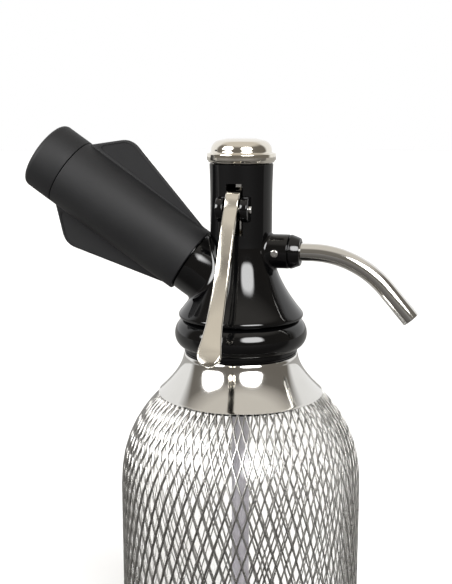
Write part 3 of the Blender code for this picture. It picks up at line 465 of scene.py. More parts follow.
# %% Shoulder rule and bottle
SHOULDER_H = 48.6 * MM
SHOULDER_CURVE = 2.71
MESH_T = 1.5 * MM
GLASS_T = 3.4 * MM
GLASS_NECK_R = 16.8 * MM
GLASS_MOUTH_R = 12.5 * MM
GLASS_NECK_H = 27 * MM
GLASS_FLOOR_T = 5 * MM
HEEL_R = 9 * MM
BEAD_R = 18.6 * MM
BEAD_H = 7 * MM
mesh_top_r = mesh_r - 17.6 * MM
straight_top_z = mesh_top_z - SHOULDER_H


def shoulder(steps, inwards=0.0, top_part=1.0):
    """The shoulder's outline from the top edge down, moved square to itself by a distance."""
    points = []
    for part in np.linspace(top_part, 0.0, steps + 1):
        radius = mesh_r - (mesh_r - mesh_top_r) * part ** SHOULDER_CURVE
        slope = -(mesh_r - mesh_top_r) * SHOULDER_CURVE * part ** (SHOULDER_CURVE - 1) / SHOULDER_H
        normal = Vector((1.0, -slope)).normalized()
        height = straight_top_z + SHOULDER_H * part
        points.append((radius - normal.x * inwards, height - normal.y * inwards))
    return points


def bottle_wall(inwards, neck_r, heel, floor_z):
    """One face of the bottle from the neck down to the middle of the floor."""
    wall = shoulder(20, inwards, 1.04)
    top_r, top_z = wall[0]
    neck_z = mouth_z - GLASS_NECK_H
    points = bent((top_r, neck_z), (neck_r - top_r, top_z - neck_z), 0, 90, 14)[:-1] + wall
    wall_r = wall[-1][0]
    return points + bent((wall_r - heel, floor_z + heel), (heel, heel), 0, -90, 10) + [(0.0, floor_z)]


glass_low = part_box("glass_bottle")[0].z
outside = bottle_wall(MESH_T + GAP, GLASS_NECK_R, HEEL_R, glass_low)
inside = bottle_wall(MESH_T + GAP + GLASS_T, GLASS_MOUTH_R, HEEL_R - GLASS_T, glass_low + GLASS_FLOOR_T)
bead = softened([(GLASS_MOUTH_R, mouth_z), (BEAD_R, mouth_z), (BEAD_R, mouth_z - BEAD_H),
                 (GLASS_NECK_R, mouth_z - BEAD_H - 0.6 * MM), (GLASS_NECK_R, mouth_z - 20 * MM)],
                1.2 * MM, 4, False)
bottle = turned("siphon_bottle", inside[::-1] + bead + outside)
settle(bottle, glass, "bottle", "clear_glass", "glass_bottle")

# %% [markdown]
# ## Mesh sleeve
# Expanded metal is one sheet, slit in rows and pulled open, so that every strand zigzags between
# its two neighbours and its face leans out of the sheet.  It could be modelled cell by cell, but it
# repeats by a rule: 72 cells round and rows of one height.  Geometry Nodes makes two strands, one of
# each phase, along the bottle's outline, and sets copies of the pair round the axis.  A strand swings
# a little less than half a cell, and it stays at each end of its swing for a moment: that short
# straight stretch is the bond, where the slits of the sheet end.

# %% Outline that the strands follow
CELLS_ROUND = 72
ROW_H = 7.4 * MM
STRAND_PARTS = 6
STRIP_W = 1.05 * MM
STRIP_T = 0.34 * MM
STRIP_LEAN = math.radians(46)
SWING_PAST = 1.09
SWING_SHARE = 0.93
path_points = [Vector((r, 0, z)) for r, z in shoulder(60, MESH_T / 2, 1.035)]
path_points.append(Vector((path_points[-1].x, 0, mesh_foot_z)))
path_length = sum((b - a).length for a, b in zip(path_points, path_points[1:]))
rows = round(path_length / ROW_H)
outline_curve = bpy.data.curves.new("mesh_outline", "CURVE")
outline_curve.dimensions = "3D"
spline = outline_curve.splines.new("POLY")
spline.points.add(len(path_points) - 1)
for point, where in zip(spline.points, path_points):
    point.co = (*where, 1.0)
sleeve = bpy.data.objects.new("mesh_outline", outline_curve)
scene.collection.objects.link(sleeve)
print("strand length", round(path_length, 4), "rows", rows)


# %% Node tree for the strands
def tree_input(tree, name, kind):
    """Add a named input to a tree and give back the identifier by which a modifier sets it."""
    return tree.interface.new_socket(name, in_out="INPUT", socket_type=kind).identifier


def grow(tree, kind, settings, values, output=0):
    """Add a node, set it up, fill its sockets and give back one of its outputs."""
    node = tree.nodes.new(kind)
    for key, value in settings.items():
        setattr(node, key, value)
    for key, value in values.items():
        if isinstance(value, bpy.types.NodeSocket):
            tree.links.new(value, node.inputs[key])
        else:
            node.inputs[key].default_value = value
    return node.outputs[output]


strands = bpy.data.node_groups.new("expanded_strands", "GeometryNodeTree")
strands.interface.new_socket("Geometry", in_out="INPUT", socket_type="NodeSocketGeometry")
strand_inputs = {
    tree_input(strands, "Cells Round", "NodeSocketInt"): CELLS_ROUND,
    tree_input(strands, "Points Along", "NodeSocketInt"): rows * STRAND_PARTS + 1,
    tree_input(strands, "Rows", "NodeSocketFloat"): float(rows),
    tree_input(strands, "Strip Width", "NodeSocketFloat"): STRIP_W,
    tree_input(strands, "Strip Thickness", "NodeSocketFloat"): STRIP_T,
    tree_input(strands, "Lean", "NodeSocketFloat"): STRIP_LEAN,
    tree_input(strands, "Metal", "NodeSocketMaterial"): mesh_steel,
}
strands.interface.new_socket("Geometry", in_out="OUTPUT", socket_type="NodeSocketGeometry")
given = strands.nodes.new("NodeGroupInput").outputs


def sum_of(operation, first, second=0.0):
    return grow(strands, "ShaderNodeMath", {"operation": operation}, {0: first, 1: second})


def vector_of(x, y, z):
    return grow(strands, "ShaderNodeCombineXYZ", {}, {0: x, 1: y, 2: z})


even = grow(strands, "GeometryNodeResampleCurve", {"mode": "COUNT"},
            {"Curve": given["Geometry"], "Count": given["Points Along"]})
share = grow(strands, "GeometryNodeSplineParameter", {}, {}, "Factor")
row_angle = sum_of("MULTIPLY", sum_of("MULTIPLY", share, given["Rows"]), math.pi)
ramp = sum_of("MULTIPLY", sum_of("ARCSINE", sum_of("COSINE", row_angle)), SWING_PAST / QUARTER)
swing = sum_of("MAXIMUM", sum_of("MINIMUM", ramp, 1.0), -1.0)
half_cell = sum_of("DIVIDE", QUARTER, given["Cells Round"])
place = grow(strands, "GeometryNodeInputPosition", {}, {})
apart = strands.nodes.new("ShaderNodeSeparateXYZ")
strands.links.new(place, apart.inputs[0])
profile = grow(strands, "GeometryNodeCurvePrimitiveQuadrilateral", {"mode": "RECTANGLE"},
               {"Width": given["Strip Thickness"], "Height": given["Strip Width"]})


def strand(offset, sign):
    """One zigzag strip; the sign gives the phase, and the offset its place in the pair."""
    swung = sum_of("MULTIPLY", sum_of("MULTIPLY", swing, half_cell), sign * SWING_SHARE)
    angle = sum_of("ADD", sum_of("MULTIPLY", half_cell, offset), swung)
    sine, cosine = sum_of("SINE", angle), sum_of("COSINE", angle)
    radius, height = apart.outputs["X"], apart.outputs["Z"]
    moved = grow(strands, "GeometryNodeSetPosition", {},
                 {"Geometry": even, "Position": vector_of(sum_of("MULTIPLY", radius, cosine),
                                                          sum_of("MULTIPLY", radius, sine), height)})
    lean_angle = sum_of("ADD", angle, given["Lean"])
    facing = vector_of(sum_of("COSINE", lean_angle), sum_of("SINE", lean_angle), 0.0)
    held = grow(strands, "GeometryNodeSetCurveNormal", {"mode": "FREE"}, {"Curve": moved, "Normal": facing})
    return grow(strands, "GeometryNodeCurveToMesh", {},
                {"Curve": held, "Profile Curve": profile, "Fill Caps": True})


pair = strands.nodes.new("GeometryNodeJoinGeometry")
strands.links.new(strand(0.0, 1.0), pair.inputs[0])
strands.links.new(strand(2.0, -1.0), pair.inputs[0])
seats = grow(strands, "GeometryNodePoints", {}, {"Count": given["Cells Round"]})
index = grow(strands, "GeometryNodeInputIndex", {}, {})
turn_by = sum_of("DIVIDE", sum_of("MULTIPLY", index, FULL_TURN), given["Cells Round"])
copies = grow(strands, "GeometryNodeInstanceOnPoints", {},
              {"Points": seats, "Instance": pair.outputs[0], "Rotation": vector_of(0.0, 0.0, turn_by)})
whole = grow(strands, "GeometryNodeRealizeInstances", {}, {"Geometry": copies})
painted = grow(strands, "GeometryNodeSetMaterial", {}, {"Geometry": whole, "Material": given["Metal"]})
result = strands.nodes.new("NodeGroupOutput")
strands.links.new(painted, result.inputs[0])
print("nodes in the strand tree:", len(strands.nodes))


# %% Mesh sleeve as a plain mesh
def plain_mesh(source, name):
    """Evaluate an object's modifiers into a new plain mesh object and remove the source."""
    bpy.context.view_layer.update()
    graph = bpy.context.evaluated_depsgraph_get()
    mesh = bpy.data.meshes.new_from_object(source.evaluated_get(graph))
    bpy.data.objects.remove(source, do_unlink=True)
    made = bpy.data.objects.new(name, mesh)
    scene.collection.objects.link(made)
    return made


modifier = sleeve.modifiers.new("strands", "NODES")
modifier.node_group = strands
for socket_id, value in strand_inputs.items():
    modifier[socket_id] = value
sleeve_mesh = plain_mesh(sleeve, "expanded_mesh")
settle(sleeve_mesh, mesh_steel, "bottle", "mesh_steel", "mesh_sleeve")
mesh_corners = tuple(sleeve_mesh.bound_box)[::6]
print("mesh box", [tuple(round(value, 4) for value in corner) for corner in mesh_corners])

# %% [markdown]
# ## Steel collar and neck ring
# The collar is spun from thin stainless sheet and hides the mesh's top edge.  Above it sits the
# moulded ring that clamps the glass neck: its belly is a pointed half round, fullest a little below
# its middle, and the threaded spigot above it, hidden until the head is unscrewed, carries a real
# thread.  Both are turned outlines, so one function makes them, thread and all.

# %% Collar
COLLAR_T = 0.9 * MM
collar_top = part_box("shoulder_collar")[1].z
collar_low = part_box("shoulder_collar")[0].z + 1.1 * MM
collar_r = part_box("shoulder_collar")[1].x - 0.5 * MM
FLARE_POWER = 1.62
lip_r = 26.3 * MM
waist_r = 26.7 * MM
waist_z = collar_top - 0.9 * MM
flare_h = waist_z - collar_low - 0.3 * MM
flare = [(waist_r + (collar_r - waist_r) * part ** FLARE_POWER, waist_z - flare_h * part)
         for part in np.linspace(0, 1, 24)]
inner_flare = [(r - COLLAR_T * 0.8, z - COLLAR_T * 0.6) for r, z in flare[::-1]]
inner_flare[0] = (flare[-1][0] - COLLAR_T * 1.1, collar_low)
rolled = [(collar_r + 0.1 * MM, collar_low + 0.25 * MM), (collar_r - 0.25 * MM, collar_low)]
top = softened([(GLASS_NECK_R + GAP, collar_top), (lip_r, collar_top), flare[0]], 0.3 * MM, 3, False)
under = [(lip_r - COLLAR_T, collar_top - COLLAR_T), (GLASS_NECK_R + GAP, collar_top - COLLAR_T)]
collar = turned("spun_collar", top[1:] + flare[1:] + rolled + inner_flare[:-1] + under + top[:1])
settle(collar, steel, "bottle", "polished_steel", "shoulder_collar")

# %% Neck ring
ring_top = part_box("neck_ring")[1].z
belly_top = mouth_z - 3.4 * MM
BELLY_H = 13.0 * MM
belly_r = 26.4 * MM
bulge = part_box("neck_ring")[1].x - belly_r
spigot_r = 22.6 * MM
ring_low = collar_top + GAP
BELLY_POWER = 1.25
belly_middle = belly_top - BELLY_H * 0.53
belly = []
for angle in np.radians(np.linspace(86, -86, 29)):
    half = belly_middle - (belly_top - BELLY_H) if angle < 0 else belly_top - belly_middle
    belly.append((belly_r + bulge * math.cos(angle) ** BELLY_POWER, belly_middle + half * math.sin(angle)))
# Below the belly a fine groove runs round, just above the ring's foot.
ring_groove_r = belly_r - 0.5 * MM
step_in = [(belly_r, belly[-1][1] - 0.1 * MM), (belly_r, ring_low + 1.6 * MM),
           (ring_groove_r, ring_low + 1.3 * MM), (ring_groove_r, ring_low + 0.9 * MM),
           (belly_r - 0.1 * MM, ring_low + 0.7 * MM),
           (belly_r - 0.3 * MM, ring_low)]
clamp_r = 20.2 * MM
neck_hole = [(GLASS_NECK_R + GAP, ring_low), (GLASS_NECK_R + GAP, ring_low + 2.6 * MM),
             (clamp_r, ring_low + 2.6 * MM), (clamp_r, ring_top)]
spigot = upright(belly_top, ring_top - 0.3 * MM, spigot_r, 27)
ring_outline = [(spigot_r - 0.3 * MM, ring_top)] + spigot + [(belly_r - 0.4 * MM, belly_top)]
ring_outline += belly + step_in + neck_hole
neck_ring = turned("moulded_neck_ring", ring_outline,
                   thread=(spigot_r, belly_top + 0.6 * MM, ring_top - 0.6 * MM, 3 * MM, 0.22 * MM))
settle(neck_ring, gloss_black, "bottle", "gloss_black", "neck_ring")

# %% [markdown]
# ## Head
# The head is one moulding: a threaded skirt that flares up into a slim tube, two lugs that hold the
# lever's pin, and a slot through which the lever reaches the valve.  The turned body is closed and
# hollow, and the lugs are joined and the slot and bores are cut with exact Booleans, as in a real
# mould.  A plate such as a lug gets its rounded edges before it is joined, while it is still simple.

# %% Flat plates and Booleans
def plate(name, outline, thickness, turn, edge=0.0):
    """An upright outline made thick about its own plane, with its edges rounded."""
    work = bmesh.new()
    low_ring = [work.verts.new((x, y, -thickness / 2)) for x, y in outline]
    high_ring = [work.verts.new((x, y, thickness / 2)) for x, y in outline]
    work.faces.new(low_ring)
    work.faces.new(high_ring)
    for a in range(len(outline)):
        b = (a + 1) % len(outline)
        work.faces.new((low_ring[a], low_ring[b], high_ring[b], high_ring[a]))
    bmesh.ops.recalc_face_normals(work, faces=work.faces)
    if edge:
        rims = [e for e in work.edges if abs(e.verts[0].co.z - e.verts[1].co.z) < 1e-9]
        bmesh.ops.bevel(work, geom=rims, offset=edge, segments=3, profile=0.5, affect="EDGES",
                        clamp_overlap=True)
    bmesh.ops.transform(work, matrix=turn, verts=work.verts)
    bmesh.ops.recalc_face_normals(work, faces=work.faces)
    mesh = bpy.data.meshes.new(name)
    work.to_mesh(mesh)
    work.free()
    made = bpy.data.objects.new(name, mesh)
    scene.collection.objects.link(made)
    return made


def shaped(piece, joined=(), cut=()):
    """Join and cut a piece with exact Booleans and make the result a plain mesh again."""
    for others, operation in ((joined, "UNION"), (cut, "DIFFERENCE")):
        for other in others:
            change = piece.modifiers.new(other.name, "BOOLEAN")
            change.operation = operation
            change.solver = "EXACT"
            change.object = other
    name = piece.name
    piece.name = name + "_rough"
    made = plain_mesh(piece, name)
    for other in (*joined, *cut):
        bpy.data.objects.remove(other, do_unlink=True)
    smooth(made)
    return made


def box_between(name, low, high):
    low, high = Vector(low), Vector(high)
    middle, size = (low + high) / 2, high - low
    outline = [(x * size.x / 2, y * size.y / 2) for x, y in ((-1, -1), (1, -1), (1, 1), (-1, 1))]
    return plate(name, outline, size.z, Matrix.Translation(middle))


def pin_between(name, radius, start, end, steps=48):
    axis = (Vector(end) - Vector(start)).normalized()
    length = (Vector(end) - Vector(start)).length
    outline = [(0.0, length), (radius, length), (radius, 0.0), (0.0, 0.0)]
    heading = axis.to_track_quat("Z", "Y").to_matrix().to_4x4()
    return turned(name, outline, Matrix.Translation(start) @ heading, steps)


side_on = Matrix(((0, 0, 1, 0), (1, 0, 0, 0), (0, 1, 0, 0), (0, 0, 0, 1)))
print("Boolean tools ready")

# %% Head
ceiling_z = mouth_z + 3.3 * MM
passage_z = ceiling_z + 10.7 * MM
chamber_z = passage_z + 6 * MM
CHAMBER_R = 7.8 * MM
PASSAGE_R = 3 * MM
INLET_BORE_R = 7.2 * MM
SKIRT_BORE_R = 22.9 * MM
TUBE_R = 14.1 * MM
TUBE_SWELL = 0.4 * MM
ROOT_STEP = 0.25 * MM
HEAD_FLARE_POWER = 1.85
swell_z = mouth_z + 49.5 * MM
flare_top = mouth_z + 31 * MM
flare_end = skirt_z + 2 * MM


def head_radius(height):
    """The head's outer radius: a flare below, then a tube that swells a little towards its top."""
    part = min(max((flare_top - height) / (flare_top - flare_end), 0.0), 1.0)
    swell = TUBE_SWELL * min(max((height - swell_z) / (tube_top_z - swell_z), 0.0), 1.0) ** 2
    root = ROOT_STEP * min(1.0, part * 8)
    return TUBE_R + root + (skirt_r - TUBE_R - ROOT_STEP) * part ** HEAD_FLARE_POWER + swell


wall = [(head_radius(z), z) for z in np.linspace(tube_top_z - 0.5 * MM, flare_top, 16)]
wall += [(head_radius(z), z) for z in np.linspace(flare_top, flare_end, 34)[1:-1]]
rim = softened([wall[-1], (skirt_r, flare_end - 0.2 * MM), (skirt_r, skirt_z + 0.7 * MM),
                (skirt_r - 0.7 * MM, skirt_z), (SKIRT_BORE_R, skirt_z)], 0.5 * MM, 4, False)[1:]
bore = [(SKIRT_BORE_R, ceiling_z), (INLET_BORE_R, ceiling_z), (INLET_BORE_R, passage_z),
        (PASSAGE_R, passage_z), (PASSAGE_R, chamber_z), (CHAMBER_R, chamber_z),
        (CHAMBER_R, tube_top_z + 5 * MM)]
cap_spigot_r = 12.2 * MM
spigot = [(cap_spigot_r - 0.3 * MM, tube_top_z + 5 * MM)]
spigot += upright(tube_top_z + 0.05 * MM, tube_top_z + 4.7 * MM, cap_spigot_r, 26)
shoulder_edge = [(wall[0][0] - 0.4 * MM, tube_top_z), (wall[0][0], tube_top_z - 0.4 * MM)]
body = turned("head_moulding", spigot + shoulder_edge + wall + rim + bore,
              thread=(cap_spigot_r, tube_top_z + 0.5 * MM, tube_top_z + 4.6 * MM, 1.25 * MM, 0.14 * MM))
LUG_R = 5.5 * MM
LUG_T = 3.4 * MM
LUG_X = 5.55 * MM
LUG_ROOT_Y = -9.3 * MM
SLOT_HALF_W = 3.75 * MM
PIN_HOLE_R = 2.1 * MM
nose = bent((pivot.y, pivot.z), (LUG_R, LUG_R), -90, -270, 24)
lug_outline = nose + [(LUG_ROOT_Y, pivot.z + LUG_R), (LUG_ROOT_Y, pivot.z - LUG_R)]
lugs = []
for side in (-1, 1):
    lug_place = Matrix.Translation((side * LUG_X, 0, 0)) @ side_on
    lugs.append(plate(f"lug_{side}", lug_outline, LUG_T, lug_place, 0.5 * MM))
slot_cut = box_between("slot_cut", (-SLOT_HALF_W, -19.6 * MM, mouth_z + 36.5 * MM),
                       (SLOT_HALF_W, 0, mouth_z + 59.5 * MM))


def pin_bore(name):
    """The bore for the lever's pin, right through the lugs."""
    return pin_between(name, PIN_HOLE_R, (-14 * MM, pivot.y, pivot.z), (14 * MM, pivot.y, pivot.z))


head = shaped(body, lugs, (slot_cut, pin_bore("pin_hole")))
settle(head, gloss_black, "head", "gloss_black", "head_body")

# %% [markdown]
# ## Branches of the head
# The charger's inlet and the spout's socket grow out of the head like branches of a casting, with a
# small fillet at the root.  A Boolean leaves a hard line there, so each branch is laid out instead:
# for every direction round its axis the point is found where its wall meets the head, and a short
# hollow curve leads from the head's surface on to the branch.

# %% Branch builder
def meets_head(origin, axis, offset):
    """How far along the axis a line beside it comes out of the head."""
    low, high = 0.0, 40 * MM
    for _ in range(40):
        middle = (low + high) / 2
        point = origin + axis * middle + offset
        if math.hypot(point.x, point.y) < head_radius(point.z):
            low = middle
        else:
            high = middle
    return low


def branch(name, origin, axis, radius, outline, fillet, steps=TURN_STEPS, thread=None):
    """A round branch whose outline of (radius, distance) ends where its wall reaches the head."""
    across = Vector((0, 1, 0))
    up = across.cross(axis).normalized()
    vertices, rings = [], []

    def add_ring(point_at):
        rings.append(list(range(len(vertices), len(vertices) + steps)))
        for step in range(steps):
            angle = FULL_TURN * step / steps
            vertices.append(point_at(up * math.cos(angle) + across * math.sin(angle), step / steps))

    for ring_r, distance in outline:
        def on_wall(direction, share, ring_r=ring_r, distance=distance):
            reach = ring_r
            if thread and abs(ring_r - thread[0]) < 1e-6 and thread[1] < distance < thread[2]:
                turns = (distance - thread[1]) / thread[3] - share
                reach += thread[4] * (abs((turns % 1.0) * 2 - 1) * 2 - 1)
            return origin + axis * distance + direction * reach
        add_ring(on_wall)
    for t in np.linspace(0, 1, 7):
        out_r = radius + fillet * (1 - math.cos(t * QUARTER))
        lift = fillet * (1 - math.sin(t * QUARTER))

        def on_root(direction, share, out_r=out_r, lift=lift):
            return origin + axis * (meets_head(origin, axis, direction * out_r) + lift) + direction * out_r
        add_ring(on_root)

    def sunk(meeting_r, ring_r, depth):
        """Close the branch inside the head's wall, where nothing shows."""
        add_ring(lambda direction, share: origin + direction * ring_r
                 + axis * (meets_head(origin, axis, direction * meeting_r) - depth))

    sunk(radius + fillet, radius + fillet - 0.3 * MM, 0.5 * MM)
    sunk(radius * 0.6, radius * 0.6, 0.8 * MM)
    faces = [(first[s], first[(s + 1) % steps], second[(s + 1) % steps], second[s])
             for first, second in zip(rings, rings[1:] + rings[:1]) for s in range(steps)]
    return finished(name, vertices, faces)


# %% Charger inlet
INLET_R = 14.4 * MM
INLET_END = 28.5 * MM
THREAD_R = 13.4 * MM
THREAD_END = 44 * MM
THREAD_PITCH = 2 * MM
THREAD_DEPTH = 0.2 * MM
CHARGER_BORE_R = 9.9 * MM
inner = [(9.0 * MM, 16 * MM), (4 * MM, 27 * MM), (CHARGER_BORE_R, 32 * MM), (CHARGER_BORE_R, THREAD_END)]
screw_rows = upright(INLET_END - 1 * MM, THREAD_END - 0.4 * MM, THREAD_R, 84)
face = softened([(THREAD_R, INLET_END), (INLET_R, INLET_END), (INLET_R, INLET_END - 4 * MM)],
                0.5 * MM, 4, False)
inlet_outline = inner + [(THREAD_R - 0.4 * MM, THREAD_END)] + screw_rows[:-6] + face[1:]
inlet_thread = (THREAD_R, INLET_END + 0.5 * MM, THREAD_END - 0.8 * MM, THREAD_PITCH, THREAD_DEPTH)
inlet = branch("charger_inlet_branch", holder_from, holder_axis, INLET_R, inlet_outline, 1.3 * MM,
               thread=inlet_thread)
settle(inlet, gloss_black, "head", "gloss_black", "charger_inlet")

# %% Spout socket
SOCKET_R = 7.8 * MM
SOCKET_END = 22.5 * MM
SPOUT_HOLE_R = 4.35 * MM
NUT_HOLE_R = 6.3 * MM
NUT_HOLE_DEPTH = 3.7 * MM
spout_from = Vector((0, 0, spout_z))
spout_axis = Vector((1, 0, 0))
socket_face = softened([(NUT_HOLE_R, SOCKET_END - NUT_HOLE_DEPTH), (NUT_HOLE_R, SOCKET_END),
                        (SOCKET_R, SOCKET_END), (SOCKET_R, SOCKET_END - 2.5 * MM)], 0.4 * MM, 4, False)
socket_outline = [(SPOUT_HOLE_R, 12 * MM), (SPOUT_HOLE_R, SOCKET_END - NUT_HOLE_DEPTH)] + socket_face
socket = branch("spout_socket_branch", spout_from, spout_axis, SOCKET_R, socket_outline, 1.1 * MM)
settle(socket, gloss_black, "head", "gloss_black", "spout_socket")

# %% [markdown]
# ## Spout
# The spout is a drawn steel tube, bent once with a bending spring so that it stays round.  It is
# swept here as rings along its own path, outside and inside, with a rounded mouth.

# %% Spout tube
SPOUT_R = 4.05 * MM
SPOUT_WALL = 0.85 * MM
BEND_START = 33 * MM
BEND_R = 44 * MM
BEND = math.radians(49.5)
TAIL = 17.5 * MM


def spout_point(distance):
    """The spout's centre and direction at a distance from the start of its bend."""
    angle = min(max(distance / BEND_R, 0.0), BEND)
    centre = Vector((BEND_START + BEND_R * math.sin(angle), 0, spout_z - BEND_R * (1 - math.cos(angle))))
    heading = Vector((math.cos(angle), 0, -math.sin(angle)))
    spare = distance - angle * BEND_R
    return centre + heading * spare, heading


def swept(name, stations, steps=56):
    """Rings along a path, one for each (distance, radius), joined end to end into a closed shell."""
    vertices, faces = [], []
    for distance, radius in stations:
        centre, heading = spout_point(distance)
        up = Vector((0, 1, 0)).cross(heading)
        for step in range(steps):
            angle = FULL_TURN * step / steps
            vertices.append(centre + (up * math.cos(angle) + Vector((0, 1, 0)) * math.sin(angle)) * radius)
    count = len(stations)
    for a in range(count):
        b = (a + 1) % count
        for s in range(steps):
            t = (s + 1) % steps
            faces.append((a * steps + s, a * steps + t, b * steps + t, b * steps + s))
    return finished(name, vertices, faces)


SPOUT_START = 8.9 * MM
MOUTH_ROUND = 0.4 * MM
bend_length = BEND * BEND_R
lip_at = bend_length + TAIL - MOUTH_ROUND
runs = list(np.linspace(SPOUT_START - BEND_START, 0, 5))
runs += list(np.linspace(0, bend_length, 30)[1:]) + [lip_at]
stations = [(run, SPOUT_R) for run in runs]
stations += [(lip_at + MOUTH_ROUND * math.sin(t), SPOUT_R - SPOUT_WALL / 2 * (1 - math.cos(t)))
             for t in np.linspace(0, math.pi, 9)[1:]]
stations += [(run, SPOUT_R - SPOUT_WALL) for run in runs[::-1][1:]]
spout = swept("curved_spout", stations)
settle(spout, spout_steel, "head", "polished_steel", "spout_tube")

# %% Spout nut and clamping screw
nut_start = SOCKET_END + GAP
nut_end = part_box("spout_nut")[1].x
NUT_R = SOCKET_R - 0.05 * MM
NUT_SPIGOT_R = NUT_HOLE_R - GAP
NUT_SPIGOT_H = 2.6 * MM
nut_outline = softened([(6.25 * MM, nut_end), (NUT_R, nut_start + 1.0 * MM), (NUT_R, nut_start),
                        (NUT_SPIGOT_R, nut_start), (NUT_SPIGOT_R, nut_start - NUT_SPIGOT_H),
                        (SPOUT_HOLE_R, nut_start - NUT_SPIGOT_H), (SPOUT_HOLE_R, nut_end)], 0.45 * MM, 4)
nut = turned("spout_cone_nut", nut_outline, along(spout_from, spout_axis))
settle(nut, gloss_black, "head", "gloss_black", "spout_nut")

screw_x = sum(corner.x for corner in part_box("spout_screw")) / 2
screw_from = Vector((screw_x, 0, spout_z))
face_at = -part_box("spout_screw")[0].y
SCREW_R = 1.1 * MM
SCREW_HEAD_R = 1.8 * MM
SCREW_TIP = 4.7 * MM
under_head = SOCKET_R + 0.1 * MM
screw_outline = [(0.0, face_at), (SCREW_HEAD_R / 2, face_at)]
screw_outline += bent((1.2 * MM, face_at - 0.55 * MM), (0.6 * MM, 0.55 * MM), 70, 0, 5)
screw_outline += [(SCREW_HEAD_R, under_head), (SCREW_R, under_head), (SCREW_R, SCREW_TIP), (0.0, SCREW_TIP)]
screw_place = Matrix.Translation(screw_from) @ Matrix.Rotation(QUARTER, 4, "X")
screw = turned("cross_head_screw", screw_outline, screw_place, 48)
crosses = []
for turn_angle in (math.radians(20), math.radians(110)):
    bar = [(x * 1.15 * MM, y * 0.19 * MM) for x, y in ((-1, -1), (1, -1), (1, 1), (-1, 1))]
    matrix = screw_place @ Matrix.Translation((0, 0, face_at)) @ Matrix.Rotation(turn_angle, 4, "Z")
    crosses.append(plate(f"cross_{len(crosses)}", bar, 1.0 * MM, matrix))
screw = shaped(screw, (), crosses)
settle(screw, steel, "head", "polished_steel", "spout_screw")

# %% [markdown]
# ## Lever
# The lever is a nickel-plated bar that curves down and out from its pin to a round thumb tip, and a
# short finger behind the pin lifts the valve.  It is one section, a rectangle with bevelled edges,
# carried along a smooth path: the section grows towards the hub and widens towards the tip, where
# its width follows a half circle.

# %% Lever path and sections
# How far out from the pin and down from it, in mm, the front of the lever is at each point.
LEVER_FRONT = ((4.6, -0.6), (10.4, 5.8), (16.8, 16.8), (22.8, 27.8), (31.0, 40.0), (39.6, 50.4),
               (42.9, 54.8), (45.9, 58.9))
LEVER_W = 6.5 * MM
TIP_W = 10.3 * MM


def through_points(points, share):
    """A point on a smooth curve through the given points, for a share from 0 to 1."""
    spot = share * (len(points) - 1)
    index = min(int(spot), len(points) - 2)
    t = spot - index
    before, start, end, after = (points[min(max(index + k, 0), len(points) - 1)] for k in (-1, 0, 1, 2))
    return 0.5 * (2 * start + (end - before) * t + (2 * before - 5 * start + 4 * end - after) * t * t
                  + (3 * start - before - 3 * end + after) * t ** 3)


finger_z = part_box("lever")[1].z - 1.2 * MM
finger_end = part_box("lever")[1].y
FINGER_T = 2.4 * MM
# Each point is (y, z, thickness): the finger, round the front of the pin, then down the bar.
path = [Vector((finger_end, finger_z, FINGER_T)), Vector((finger_end - 6 * MM, finger_z, FINGER_T)),
        Vector((pivot.y + 5.5 * MM, finger_z - 0.2 * MM, 2.8 * MM)),
        Vector((pivot.y + 0.2 * MM, pivot.z + 5.6 * MM, 4.4 * MM)),
        Vector((pivot.y - 3.4 * MM, pivot.z - 0.4 * MM, 5.0 * MM))]
front = [Vector((pivot.y - out * MM, pivot.z - down * MM)) for out, down in LEVER_FRONT]
for index in range(1, len(front)):
    run = (front[min(index + 1, len(front) - 1)] - front[index - 1]).normalized()
    deep = (4.0 - 1.4 * index / (len(front) - 1)) * MM
    centre = front[index] + Vector((-run.y, run.x)) * deep / 2
    path.append(Vector((centre.x, centre.y, deep)))
samples = [through_points(path, share) for share in np.linspace(0, 1, 400)]
steps_along = [0.0] + [(b - a).xy.length for a, b in zip(samples, samples[1:])]
distances = np.cumsum(steps_along)
lever_length = distances[-1]


# How far from the tip the lever has each width.
WIDTH_AT = np.array([0, 5, 7, 11, 18, 34, 90]) * MM
WIDTHS = np.array([TIP_W, TIP_W, TIP_W * 0.97, TIP_W * 0.84, LEVER_W * 1.13, LEVER_W, LEVER_W])


def path_at(distance):
    """The lever's (y, z, thickness) at a distance along its path."""
    columns = ([getattr(sample, axis) for sample in samples] for axis in "xyz")
    return [float(np.interp(distance, distances, column)) for column in columns]


def lever_section(distance, parts=5):
    """The bevelled rectangle of the lever at a distance along its path."""
    y, z, deep = path_at(distance)
    y2, z2 = path_at(distance + 0.2 * MM)[:2]
    y1, z1 = path_at(distance - 0.2 * MM)[:2]
    run = Vector((0, y2 - y1, z2 - z1)).normalized()
    facing = Vector((0, run.z, -run.y))
    left = lever_length - distance
    wide = float(np.interp(left, WIDTH_AT, WIDTHS))
    round_r = TIP_W / 2
    if left < round_r:
        wide = 2 * math.sqrt(max(round_r ** 2 - (round_r - left) ** 2, (0.9 * MM) ** 2))
        deep *= min(1.0, 0.62 + 0.38 * math.sqrt(left / (1.2 * MM)))
    edge = min(0.75 * MM, deep * 0.3, wide * 0.2)
    corners = []
    for corner, (sx, sn) in enumerate(((1, 1), (-1, 1), (-1, -1), (1, -1))):
        for part in range(parts + 1):
            angle = QUARTER * (corner + part / parts)
            corners.append((sx * (wide / 2 - edge) + edge * math.cos(angle),
                            sn * (deep / 2 - edge) + edge * math.sin(angle)))
    return [Vector((x, y, z)) + facing * n for x, n in corners]


